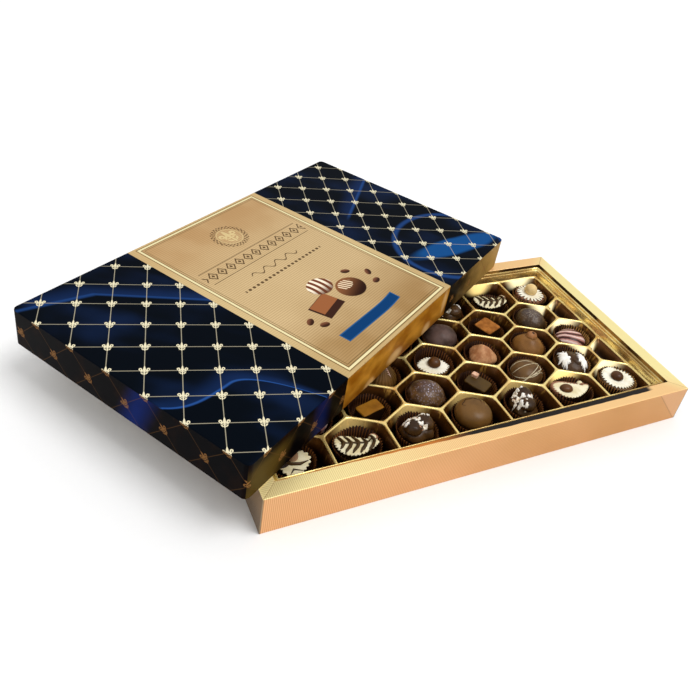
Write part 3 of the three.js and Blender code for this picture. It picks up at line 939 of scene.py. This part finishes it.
def ringPoints(corners, distance, softness):
    # where rays from the middle to points on the sides meet a rounded line inside them
    count = len(corners)
    bases = np.array(corners)
    middle = np.mean(bases, axis=0)
    sides = np.roll(bases, -1, axis=0) - bases
    normals = np.stack((-sides[:, 1], sides[:, 0]), axis=1) / np.hypot(*sides.T)[:, None]
    ring = []
    for k in range(count):
        for part in range(insert["edgeParts"]):
            target = bases[k] + sides[k] * part / insert["edgeParts"]
            if distance <= 0:
                ring.append(target)
                continue
            low, high = 0.0, 1.0
            for _ in range(22):
                share = (low + high) / 2
                gaps = np.sum((middle + (target - middle) * share - bases) * normals, axis=1)
                depth = -softness * math.log(np.sum(np.exp(-(gaps - distance) / softness)))
                low, high = (share, high) if depth > 0 else (low, share)
            ring.append(middle + (target - middle) * low)
    return ring


def buildInsert():
    top = insert["ridgeTop"]
    points, faces, index = [], [], {}

    def add(x, y, z):
        key = (round(x, 3), round(y, 3), round(z, 3))
        if key not in index:
            index[key] = len(points)
            points.append((x, y, z))
        return index[key]

    def skin(first, second):
        size = len(first)
        for k in range(size):
            quad = (first[k], first[(k + 1) % size], second[(k + 1) % size], second[k])
            seen = [q for n, q in enumerate(quad) if q not in quad[:n]]
            if len(seen) > 2:
                faces.append(tuple(seen))

    cells = []
    for row, sweets in enumerate(filling):
        cells += [(cellCorners(row, k), insert["floor"]) for k in range(len(sweets))]
        if len(sweets) == min(len(r) for r in filling):
            cells += [(endCorners(row, side), insert["recessFloor"]) for side in (-1, 1)]
    for corners, floor in cells:
        drop = top - floor
        levels = [(0, 0.3, top), (0.4, 0.4, top - 0.03), (0.72, 0.6, top - 0.25), (1.0, 0.9, top - 0.8),
                  (1.35, 1.3, top - 1.7), (1.9, 1.8, top - 0.17 * drop), (2.5, 2.2, top - 0.34 * drop),
                  (3.0, 2.4, top - 0.6 * drop), (3.4, 2.6, floor + 1.8), (3.9, 2.8, floor + 0.6),
                  (4.8, 3.0, floor), (7.5, 3.0, floor)]
        before = None
        for distance, softness, z in levels:
            ring = [add(x, y, z) for x, y in ringPoints(corners, distance, softness)]
            if before:
                skin(before, ring)
            before = ring
        faces.append(tuple(before))

    # the raised border: from the edge of the field up, over, down and out to the tray's lip
    right, behind = insert["length"] - margin, insert["depth"] - margin
    rim = []
    posts = [(margin, margin), (right, margin), (right, behind), (margin, behind)]
    for (x0, y0), (x1, y1) in zip(posts, posts[1:] + posts[:1]):
        span = math.hypot(x1 - x0, y1 - y0)
        along = []
        for px, py, pz in points:
            aside = abs((px - x0) * (y1 - y0) - (py - y0) * (x1 - x0))
            if pz == top and aside < 0.01 * span:
                along.append((px, py))
        along.sort(key=lambda p: math.hypot(p[0] - x0, p[1] - y0))
        rim += along[:-1]
    outline = [(0.05, 21.2), (0.25, 26.2), (0.5, 26.75), (0.9, 26.95), (1.3, 26.75), (1.6, 26.2),
               (1.8, 25.0), (2.1, 24.6), (2.7, 24.5), (3.3, 24.8), (3.8, 25.8), (4.05, 27.4)]
    before = [add(x, y, top) for x, y in rim]
    for reach, z in outline:
        ring = []
        for x, y in rim:
            ox = int(x > right - 0.01) - int(x < margin + 0.01)
            oy = int(y > behind - 0.01) - int(y < margin + 0.01)
            ring.append(add(x + ox * reach, y + oy * reach, z))
        skin(ring, before)
        before = ring
    mesh = bpy.data.meshes.new("insert_formed")
    spots = [(x * mm + trayCorner.x, y * mm + trayCorner.y, z * mm) for x, y, z in points]
    mesh.from_pydata(spots, [], faces)
    mesh.validate()
    mesh.update()
    formed = placed("insert_formed", mesh)
    film = formed.modifiers.new("film", "SOLIDIFY")
    film.thickness = insert["film"] * mm
    film.offset = -1
    film.use_even_offset = False
    result = settled(formed)
    formed.modifiers.remove(film)
    formed.data = result
    result.shade_smooth()
    return formed


foilLook = {
    "crest": (255, 230, 152),
    "crestShade": (214, 158, 84),
    # wall and deep: painted shade, the foil darker down into the pockets
    "wall": (92, 54, 14),
    "deep": (36, 13, 2),
    # lit, litRight and glow: painted reflected light on the back walls of the right-hand cells
    "lit": (255, 222, 140),
    "litRight": (255, 240, 190),
    "glow": 0.75,
}


def makeFoil():  # bright on the ridges, painted shade down in the pockets, painted reflected light on back walls at the right
    look = foilLook
    kit, place = startFinish("goldFoil")
    x, y, z = trayPoint(kit, place)
    broad = kit.noise(place, 55, 2.0)
    streaks = kit.noise(kit.join(x * 0.22, y * 0.22, z * 0.03), 1.0, 3.0, 0.6)
    fine = kit.noise(place, 420, 3.0, 0.6)
    facing = kit.split(kit.add("ShaderNodeNewGeometry").of("Normal"))[1] * -1
    glints = kit.step(streaks, 0.56, 0.72) * kit.step(z, 11, 17)
    inField = kit.step(z, 6, 7) * kit.fade(z, 20.6, 21.2)
    firstMiddle = lattice["middleX"] - 3 * lattice["pitchX"]
    apex = kit.absolute(kit.math("PINGPONG", x - firstMiddle, lattice["pitchX"] / 2))
    arch = kit.fade(apex + (insert["ridgeTop"] - z) * 0.7, 6, 19)
    backRow = kit.step(y, 160, 166) * kit.step(x, 228, 240)
    inRow = kit.most(kit.fade(y, 58, 62), kit.step(x, 285, 292), backRow)
    share = 0.3 + kit.step(x, 225, 262) * 0.7
    lit = kit.step(facing, 0.3, 0.7) * inField * inRow * arch * share * kit.step(z + (broad - 0.5) * 5, 9, 15)
    glow = kit.mix(kit.step(x, 262, 300), look["lit"], look["litRight"])
    border = kit.step(z, 20.9, 21.5)
    band = kit.step(kit.noise(kit.join(x * 0.012, y * 0.012, z * 0.1), 1.0, 2.0, 0.5), 0.5, 0.6)
    crest = kit.mix(kit.step(broad, 0.46, 0.66) * 0.5, look["crest"], look["crestShade"])
    crest = kit.mix(border * band * 0.6, crest, (132, 88, 30))
    away = kit.fade(z, 15, 20)
    # painted shade darker down into the pockets, then painted glints, painted reflected light and the bright
    # ridges
    colour = kit.layer(
        kit.mix(kit.step(z + (streaks - 0.5) * 6, 9, 18), look["deep"], look["wall"]),
        (glints * 0.7, (206, 156, 70)),
        (lit, glow),
        (kit.step(z, 19.4, 20.1), crest))
    values = {"Base Color": colour, "Metallic": (0.7 - away * 0.25) * (1 - lit * 0.9)}
    values["Roughness"] = 0.2 + fine * 0.12 + away * 0.12
    values["Emission Color"] = kit.mix(lit, (0, 0, 0, 1), glow)  # painted reflection: emission stands in for light thrown back by the foil
    values["Emission Strength"] = look["glow"]
    return endFinish(kit, values, broad * 0.6 + fine * 0.4, 0.5 * mm, 0.3)


insertPiece = buildInsert()
insertPiece.data.materials.clear()
insertPiece.data.materials.append(makeFoil())
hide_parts("insert")
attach(insertPiece, "root")
print("insert formed")


def roundedCopy(node, name, width, segments):
    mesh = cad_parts[node].data.copy()
    mesh.name = name
    mesh.materials.clear()
    piece = placed(name, mesh)
    weld = piece.modifiers.new("weld", "WELD")
    weld.merge_threshold = 1e-5
    flat = piece.modifiers.new("flat", "DECIMATE")
    flat.decimate_type = "DISSOLVE"
    flat.angle_limit = math.radians(1)
    bevel = piece.modifiers.new("bevel", "BEVEL")
    bevel.width = width * mm
    bevel.segments = segments
    bevel.limit_method = "ANGLE"
    bevel.angle_limit = math.radians(40)
    bevel.harden_normals = True
    result = settled(piece)
    piece.modifiers.clear()
    piece.data = result
    return piece


trayLook = {
    "ribPitch": 1.25,
    "ribDepth": 0.10,
    "wall": (232, 171, 112),
    # wallDeep: painted shade towards the right of the walls
    "wallDeep": (202, 143, 72),
    "rimLeft": (255, 236, 166),
    "rim": (254, 208, 144),
    # rimRight: painted highlight at the right end of the rim
    "rimRight": (255, 240, 170),
    "height": 30.5,
    "length": 340.0,
    "depth": 187.0,
}


def makeTrayCard():
    look = trayLook
    kit, place = startFinish("goldCard")
    x, y, z = trayPoint(kit, place)
    dx = kit.least(x, look["length"] - x)
    dy = kit.least(y, look["depth"] - y)
    frontWay = kit.step(dx - dy, -0.05, 0.05)  # 1 on the long strips, 0 on the short ones
    along = x * frontWay + y * (1 - frontWay)
    ribs = kit.sine(along * (fullTurn / look["ribPitch"]))
    mitre = kit.fade(kit.absolute(dx - dy), 0.1, 0.45) * kit.step(z, 30.2, 30.4)
    depth = kit.least(dx, dy)
    inside = kit.step(depth, 1.2, 1.35) * kit.fade(z, 29.0, 29.1) * kit.fade(depth, 9.3, 9.5)
    lip = kit.step(depth, 10.6, 10.8) * kit.fade(z, 30.1, 30.3)
    broad = kit.noise(place, 14, 2.0)
    fine = kit.noise(place, 1300, 3.0, 0.6)
    onRim = kit.step(z, 30.0, 30.3)
    toRight = kit.step(x, 40, 330)
    shortEnd = kit.fade(dx, 0.6, 0.9)
    # a crease the mesh lacks: painted highlight on one side, painted shade along it
    crease = x - look["length"] + 28 * z / look["height"] + 1
    crossing = kit.step(x, 306, 309) * (1 - shortEnd) * (1 - onRim)
    rim = kit.mix(kit.step(x, 40, 150), look["rimLeft"], look["rim"])
    # painted highlight: the rim paler at the right end
    rim = kit.mix(kit.step(dy - dx, -14, 14) * kit.step(x, 170, 200), rim, look["rimRight"])
    brink = 10.3 - kit.step(x, 30, 230) * 3.6 + (kit.noise(kit.join(x * 0.06, 0.0), 1.0, 2.0) - 0.5) * 1.6
    inShade = kit.step(y - brink, -0.15, 0.15) * kit.fade(y, 12, 13) * onRim
    inShade = inShade * kit.between(x, 12, 308, 3.0)
    patches = kit.step(kit.noise(kit.join(x * 0.035, y * 0.035), 1.0, 2.0), 0.4, 0.56)
    # painted shade: the rim's inner wall dark just below the rim, in patches
    groove = kit.step(z, 26.4, 27.8) * (0.3 + patches * 0.7)
    strength = 1 - toRight * 0.65
    # the walls darker towards the right as painted shade, with random tone in broad patches
    colour = kit.layer(
        kit.mix(toRight * 0.7 + (broad - 0.5) * 1.6, look["wall"], look["wallDeep"]),
        # painted shade on the end walls, darker towards the bottom
        (shortEnd * 0.95, kit.mix(kit.step(z, 4, 26), (44, 25, 1), (100, 70, 26))),
        (kit.step(crease, 0, 1) * crossing * 0.25, (246, 196, 158)),
        (kit.between(crease, -0.7, 0.2, 0.3) * crossing * 0.45, (150, 100, 62)),
        (onRim, rim),
        # painted highlight on the rib crests and painted shade in their troughs, weaker towards the right
        (kit.step(ribs, 0.0, 1.0) * strength * 0.3, (255, 232, 190)),
        (kit.step(-ribs, 0.3, 1.0) * strength * 0.34, (158, 100, 54)),
        (inShade, kit.mix(kit.step(x, 112, 150), (190, 112, 40), (16, 6, 1))),
        (mitre * 0.6, (150, 104, 52)),
        (inside, (206, 196, 178)),
        # painted shade on the rim's inner wall
        (lip, kit.mix(groove, (206, 160, 84), (44, 22, 6))))
    metal = 0.55 * (1 - inside) * (1 - lip * 0.5) * (1 - shortEnd * 0.6) * (1 - inShade)
    values = {"Base Color": colour, "Metallic": metal}
    values["Roughness"] = 0.36 + (fine - 0.5) * 0.2 + inside * 0.3
    values["Specular IOR Level"] = 0.2
    return endFinish(kit, values, ribs * 0.5 + 0.5 - mitre, look["ribDepth"] * mm, 0.7)


trayPiece = roundedCopy("tray", "tray_board", 0.45, 2)
trayPiece.data.materials.append(makeTrayCard())
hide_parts("tray")
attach(trayPiece, "root")
print("tray dressed")


lidLook = {
    "turn": 31.7,  # degrees
    "corner": (-9.8, 1.5),  # mm from the tray's corner
    "length": 345.0,
    "depth": 201.0,
    "base": 30.8,
    "height": 28.5,
    "board": 1.5,
    "panel": (96.5, 241.5),
    "frame": (104.0, 234.0, 4.5, 197.0),
    "emblem": (170.0, 165.5, 15.5),
    "pitch": (31.4, 32.3),
    "start": (15.5, 193.0),
    "ribbon": (128.0, 199.0, 24.3, 4.7),
    # painted highlights on the gold wall
    "wallGlints": ((162, 22, 13, 7), (129, 28, 9, 7), (210, 25, 8, 8), (236, 12, 5, 14)),
    "beans": ((126, 52, 0.5), (131, 43, -0.3), (205, 47, 0.2), (210, 58, 0.9), (197, 71, -0.5)),
}


def turned(u, v, cx, cy, rx, ry, turn=0.0):  # a point in the measure of a turned oval
    c, s = math.cos(turn), math.sin(turn)
    return ((u - cx) * c + (v - cy) * s) / rx, ((v - cy) * c - (u - cx) * s) / ry


def fleur(kit, u, v):  # a lily about 9 high and 7 wide round its own middle
    a = kit.absolute(u)

    def part(*row):
        return kit.oval(turned(a, v, *row), 0.8, 1.2)

    petal = kit.oval((a / (v * -0.16 + 1.3), (v - 2.2) / 2.9), 0.75, 1.15)
    curl = kit.most(part(3.0, 1.5, 1.35, 1.35) - part(3.0, 1.3, 0.5, 0.5), 0.0)
    arm, foot = part(1.9, 0.1, 0.55, 1.5, 0.75), part(1.75, -2.5, 0.5, 1.3, -0.75)
    belt, tail = part(0, -1.0, 2.2, 0.42), part(0, -2.8, 0.6, 1.5)
    return kit.most(petal, curl, arm, belt, tail, foot)


def makePrint():
    look = lidLook
    kit, place = startFinish("lidPrint")
    u, v = ownPoint(kit, "print")
    drift = kit.noise(kit.join(u * 0.02, v * 0.02), 1.0, 2.0)
    left, right = look["panel"]
    panel = kit.between(u, left, right, 0.2)

    # dark satin with soft folds
    cloth = kit.noise(kit.join(u * 0.022 + v * 0.01, v * 0.012 - u * 0.008), 1.0, 2.5, 0.45)
    satin = kit.mix(kit.step(cloth, 0.45, 0.75), (4, 9, 17), (13, 28, 56))

    def fold(distance, width, glow):  # a bright crease with light on one side
        line = kit.fade(kit.absolute(distance), 0.0, width)
        wash = kit.step(distance, 0.0, 0.5) * kit.fade(distance, 0.5, glow)
        return line, wash

    bendA = kit.most(u - 42, 0.0) / 4.3
    pathA = 51 + kit.math("EXPONENT", u * -0.09) * 15 - bendA * bendA
    lineA, washA = fold(v - pathA, 1.6, 16)
    onLeft = kit.fade(u, 70, 92)
    pathB = 196 - u * 0.42 - kit.most(u - 46, 0.0) * 0.75
    lineB, washB = fold(v - pathB, 3.0, 22)
    beforePanel = kit.fade(u, 96, 98)
    washes = kit.most(washA * 0.35 * onLeft, washB * 0.4 * beforePanel * kit.step(u, 2, 14))
    lines = kit.most(lineA * 0.6 * onLeft, lineB * 0.3 * beforePanel)
    arch = kit.absolute(kit.root((u - 300) * (u - 300) * 1.0 + (v - 30) * (v - 30) * 1.3) - 54)
    lineC = kit.fade(arch, 0.5, 4.0) * kit.step(u, 243, 246) * kit.fade(v, 84, 96)
    pathD = 116 + (u - 268) * 0.42
    lineD, washD = fold(v - pathD, 2.4, 18)
    afterPanel = kit.step(u, 243, 248)
    washes = kit.most(washes, washD * 0.35 * kit.step(u, 262, 280))
    lines = kit.most(lines, lineC * 0.35, lineD * 0.35 * kit.step(u, 262, 280))
    glowU, glowV = (u - 300) * 0.9 + (v - 26) * 0.42, (v - 26) - (u - 300) * -0.3
    pool = kit.fade(glowU * glowU / 1500 + glowV * glowV / 160 + (drift - 0.5) * 0.9, 0.5, 1.15)
    satin = kit.layer(
        satin,
        (washes, (26, 56, 112)),
        (lines, (46, 96, 176)),
        (pool * afterPanel * 0.9, (18, 76, 136)))

    # lattice with a lily at each crossing
    a = (u - look["start"][0]) / look["pitch"][0]
    b = (v - look["start"][1]) / look["pitch"][1]
    p, q = a + b, a - b
    fp, fq = p - kit.math("ROUND", p), q - kit.math("ROUND", q)
    du = (fp + fq) * (look["pitch"][0] / 2)
    dv = (fp - fq) * (look["pitch"][1] / 2)
    net = kit.least(kit.absolute(fp), kit.absolute(fq)) * 22.5
    mesh = kit.fade(net, 0.13, 0.38) * (1 - panel)
    lily = fleur(kit, (du - dv) * 0.9, (du + dv) * 0.78) * (1 - panel)

    # gold panel with a double line, a wreath and small ornaments
    x0, x1, y0, y1 = look["frame"]
    edge = kit.least(u - x0, x1 - u, v - y0, y1 - v)
    bright = kit.between(edge, -0.9, 0.9, 0.15)
    darkLines = ((-1.6, -1.05), (1.05, 1.6), (3.0, 3.4))
    dark = kit.most(*(kit.between(edge, low, high, 0.12) for low, high in darkLines))
    ex, ey, er = look["emblem"]
    wu, wv = u - ex, v - ey
    reach = kit.root(wu * wu + wv * wv)
    spoke = kit.math("ARCTAN2", wv, wu)
    leaves = kit.sine(spoke * 30 + reach * 1.6) * 0.5 + kit.sine(spoke * 22 - reach * 2.1) * 0.5
    wreath = kit.between(reach, er - 4.0, er, 0.5) * kit.step(leaves, -0.15, 0.45)
    inner = kit.between(reach, er - 5.2, er - 4.6, 0.2)
    bigLily = fleur(kit, wu / 2.0, wv / 2.0)
    tileU = kit.math("PINGPONG", (u - 109.5) / 9.7, 0.5) * 9.7
    gem = kit.absolute(tileU) * 1.25 + kit.absolute(v - 136)
    title = kit.between(v, 129.5, 142.5, 0.2) * kit.between(u, 110.5, 226.5, 0.3)
    gems = title * kit.most(kit.between(gem, 3.7, 5.4, 0.25), kit.fade(gem, 1.5, 2.0))
    rails = kit.most(kit.between(v, 143.6, 144.2, 0.1), kit.between(v, 127.8, 128.4, 0.1))
    rails = rails * kit.between(u, 112, 225, 0.3)
    vineV = v - 116 - kit.sine((u - 140) * (fullTurn / 13.25)) * 2.6
    vine = kit.between(vineV, -0.55, 0.55, 0.25) * kit.between(u, 140, 193, 0.5)
    beadU = kit.math("PINGPONG", (u - 121) / 4.55, 0.5) * 4.55
    beads = kit.fade(beadU * beadU + (v - 106) * (v - 106), 1.4, 2.2) * kit.between(u, 121, 212, 0.3)
    ornament = kit.most(wreath, gems, rails, vine, beads)
    embossed = kit.most(bigLily * kit.fade(reach, er - 6.5, er - 6), inner)

    grain = kit.noise(place, 24, 2.0)
    threads = kit.sine(v * (fullTurn / 1.9))
    # painted reflection: the gold panel darker at its near edge, brightest in the middle, deeper towards the
    # far edge
    card = kit.layer(
        kit.mix(kit.step(v + (drift - 0.5) * 40, 5, 80), (182, 144, 92), (226, 196, 146)),
        (kit.step(v, 115, 195), (208, 166, 114)),
        (kit.step(grain, 0.4, 0.65) * 0.25, (238, 208, 158)),
        (kit.step(threads, 0.0, 0.9) * 0.32, (132, 96, 50)),
        (kit.step(-edge, 1.7, 2.2) * 0.5, (232, 206, 148)),
        (bright, (255, 242, 190)),
        (dark * 0.85, (96, 78, 34)),
        (ornament * 0.9, (82, 56, 28)),
        (embossed * 0.7, (244, 222, 162)))

    # three plain sweets and some beans, shaded as if lit from above
    def disc(*row):
        return turned(u, v, *row)

    def inDisc(pair, soft=0.06):
        return kit.oval(pair, 1 - soft, 1 + soft)

    def inBox(pair):
        return kit.fade(kit.most(kit.absolute(pair[0]), kit.absolute(pair[1])), 0.96, 1.02)

    ball, crown = disc(183, 56, 13, 11.5), disc(182, 60.5, 7.5, 5)
    block, blockTop = disc(150, 55, 12.5, 9.5, 0.2), disc(150.4, 58, 11.6, 6.2, 0.2)
    pale = disc(166, 73, 11.5, 9.5)
    shine = kit.step(ball[1] - ball[0] * 0.4, -0.9, 0.9)
    ribs = kit.sine((u - 166) * 1.15 + (v - 73) * (v - 73) * 0.02)
    ribbed = kit.mix(kit.step(ribs, -0.1, 0.3), (112, 62, 40), (246, 232, 208))
    picture = kit.layer(
        card,
        (inDisc(ball), kit.mix(shine, (44, 24, 18), (132, 84, 52))),
        (inDisc(crown) * kit.step(kit.sine(u * 2.2 + v * 1.1), -0.2, 0.3), (236, 214, 180)),
        (inBox(block), (58, 34, 26)),
        (inBox(blockTop), (150, 92, 56)),
        (inDisc(pale), kit.mix(kit.step(pale[1], -1.1, 0.2), (96, 54, 36), ribbed)))
    for cx, cy, turn in look["beans"]:
        bean = disc(cx, cy, 4.0, 2.6, turn)
        beanTone = kit.mix(kit.step(bean[1], -0.5, 0.8), (64, 34, 22), (134, 84, 58))
        picture = kit.mix(inDisc(bean, 0.15), picture, beanTone)
    r0, r1, rv, rh = look["ribbon"]
    sweep = kit.most(u - 172, 0.0)
    swag = v - rv - sweep * sweep * 0.0028
    band = kit.between(swag, -rh, rh, 0.15) * kit.between(u, r0, r1, 0.2)
    middle = kit.between(swag, -rh + 0.9, rh - 0.9, 0.15) * kit.between(u, r0 + 1.0, r1 - 1.0, 0.15)
    border = band * (1 - middle)
    picture = kit.layer(picture, (band, (12, 58, 108)), (border * 0.7, (48, 98, 146)))
    painted = kit.most(inDisc(ball), inBox(block), inBox(blockTop), inDisc(pale), band)
    colour = kit.layer(satin, (panel, picture), (mesh * 0.8, (176, 168, 144)), (lily, (244, 234, 198)))

    # the walls: deeper colours as painted shade, with painted reflections of the tray's gold in the near one
    frontWall = kit.fade(v, -1.0, -0.4)
    sideWall = kit.fade(u, -1.0, -0.4)
    wall = kit.most(frontWall, sideWall)
    gleam = kit.noise(kit.join(u * 0.045, v * 0.07), 1.0, 2.5, 0.5)
    down = -v

    # painted highlights on the gold wall
    spots = kit.most(*(kit.oval(turned(u, down, *row), 0.0, 1.0) for row in look["wallGlints"]))
    # painted shade: the gold wall deeper than the panel and darker towards the bottom
    goldWall = kit.layer(
        kit.mix(kit.step(gleam, 0.3, 0.72), (172, 104, 14), (228, 162, 54)),
        (kit.step(down, 16, 28) * 0.55, (112, 58, 8)),
        (spots * 0.85, (250, 206, 140)))
    # painted reflections of the tray's gold on the near wall
    trayGoldReflection = kit.between(u + down * 0.5, 6, 42, 10.0) * kit.step(down, 2, 12) * frontWall
    endGoldReflection = kit.step(u + (gleam - 0.5) * 60, 246, 340) * frontWall
    # painted shade: the blue wall near black
    blueWall = kit.layer(
        kit.mix(kit.step(gleam, 0.45, 0.8), (4, 3, 5), (26, 11, 5)),
        (trayGoldReflection * (0.4 + gleam * 0.5), (92, 72, 26)),
        (endGoldReflection * 0.9, (188, 148, 78)),
        (kit.between(v + u * 0.4, 72, 88, 9.0) * sideWall * (0.4 + gleam * 0.6), (12, 40, 116)),
        (kit.between(u, 64, 76, 6.0) * frontWall * 0.35, (12, 40, 116)),
        (mesh * 0.45, (96, 66, 34)),
        (lily * 0.75, (150, 104, 56)))
    colour = kit.mix(wall, colour, kit.mix(panel, blueWall, goldWall))
    foil = kit.most(panel * (1 - painted * (1 - wall)) * (0.7 - wall * 0.35), lily * (0.4 - wall * 0.3))
    fineGrain = kit.noise(place, 1800, 2.0)
    rough = 0.36 + panel * 0.06 - wall * 0.04 + (fineGrain - 0.5) * 0.08
    values = {"Base Color": colour, "Metallic": foil, "Roughness": rough, "Specular IOR Level": 0.015}
    relief = threads * 0.12 * panel + kit.most(bright, embossed, lily * 0.6, wreath * 0.6) + drift * 0.4
    return endFinish(kit, values, relief, 0.16 * mm, 0.6)


def makeInnerBoard():
    kit, place = startFinish("lidInside")
    fibre = kit.noise(place, 700, 4.0, 0.7)
    broad = kit.noise(place, 40, 2.0)
    colour = kit.mix(broad * 0.5 + fibre * 0.5, (196, 190, 178), (228, 224, 214))
    return endFinish(kit, {"Base Color": colour, "Roughness": 0.85}, fibre, 0.05 * mm, 0.6)


def dressLid():
    look = lidLook
    piece = roundedCopy("lid", "lid_board", 0.8, 3)
    mesh = piece.data
    mesh.materials.append(makePrint())
    mesh.materials.append(makeInnerBoard())
    angle = math.radians(look["turn"])
    c, s = math.cos(angle), math.sin(angle)
    cx = trayCorner.x + look["corner"][0] * mm
    cy = trayCorner.y + look["corner"][1] * mm
    tall, inner = look["height"], look["board"] * 0.9

    def onLid(point):  # mm along the lid's length, its depth and down from its top
        dx, dy = (point.x - cx) / mm, (point.y - cy) / mm
        return dx * c + dy * s, dy * c - dx * s, tall + look["base"] - point.z / mm

    layer = mesh.uv_layers.new(name="print")
    spots = np.zeros((len(mesh.loops), 2))
    for polygon in mesh.polygons:
        normal = polygon.normal
        nx, ny = normal.x * c + normal.y * s, normal.y * c - normal.x * s
        u, v, down = onLid(polygon.center)
        inLength, inDepth = inner < u < look["length"] - inner, inner < v < look["depth"] - inner
        within = inLength and inDepth and down > inner
        polygon.material_index = 1 if within or normal.z < -0.5 else 0
        for k in polygon.loop_indices:
            u, v, down = onLid(mesh.vertices[mesh.loops[k].vertex_index].co)
            if abs(normal.z) < 0.7:  # walls carry on the top's print
                if abs(nx) > abs(ny):
                    u = -down if nx < 0 else look["length"] + down
                else:
                    v = -down if ny < 0 else look["depth"] + down
            spots[k] = (u, v)
    layer.uv.foreach_set("vector", spots.ravel())
    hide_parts("lid")
    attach(piece, "root")


dressLid()
print("lid printed")


studio = {
    "floor": 40.0,
    "skyHigh": (1.0, 1.0, 1.0, 1),
    "skyLow": (0.42, 0.40, 0.38, 1),
    "skyStrength": 0.85,
    "sunAim": (-0.35, 0.28, -1.0),  # the way the soft light falls
    "sunPower": 1.5,
    "sunSpread": 32,  # degrees
}


def makeFloor():
    kit, place = startFinish("floorPaper")
    grain = kit.noise(place, 300, 3.0)
    colour = kit.mix(grain, (0.92, 0.92, 0.92, 1), (0.94, 0.94, 0.94, 1))
    paper = endFinish(kit, {"Base Color": colour, "Roughness": 0.9, "Specular IOR Level": 0.1})
    reach = studio["floor"] / 2
    corners = [(x * reach, y * reach, 0) for x, y in ((-1, -1), (1, -1), (1, 1), (-1, 1))]
    mesh = bpy.data.meshes.new("floor")
    mesh.from_pydata(corners, [], [(0, 1, 2, 3)])
    mesh.materials.append(paper)
    floor = placed("floor", mesh)


def addLight():
    world = bpy.data.worlds.new("studio")
    scene.world = world
    world.use_nodes = True
    world.node_tree.nodes.clear()
    kit = Kit(world.node_tree)
    _, _, up = kit.split(kit.add("ShaderNodeTexCoord").of("Generated"))
    sky = kit.mix(kit.step(up, 0.0, 0.75), studio["skyLow"], studio["skyHigh"])
    back = kit.add("ShaderNodeBackground", None, {"Color": sky, "Strength": studio["skyStrength"]})
    kit.add("ShaderNodeOutputWorld", None, {"Surface": back})
    data = bpy.data.lights.new("softSun", "SUN")
    data.energy = studio["sunPower"]
    data.angle = math.radians(studio["sunSpread"])
    sun = bpy.data.objects.new("softSun", data)
    sun.location = (0.4, -0.3, 1.2)
    sun.rotation_euler = Vector(studio["sunAim"]).to_track_quat("-Z", "Y").to_euler()
    scene.collection.objects.link(sun)


makeFloor()
addLight()
scene.view_settings.view_transform = "Standard"
print("studio lit")
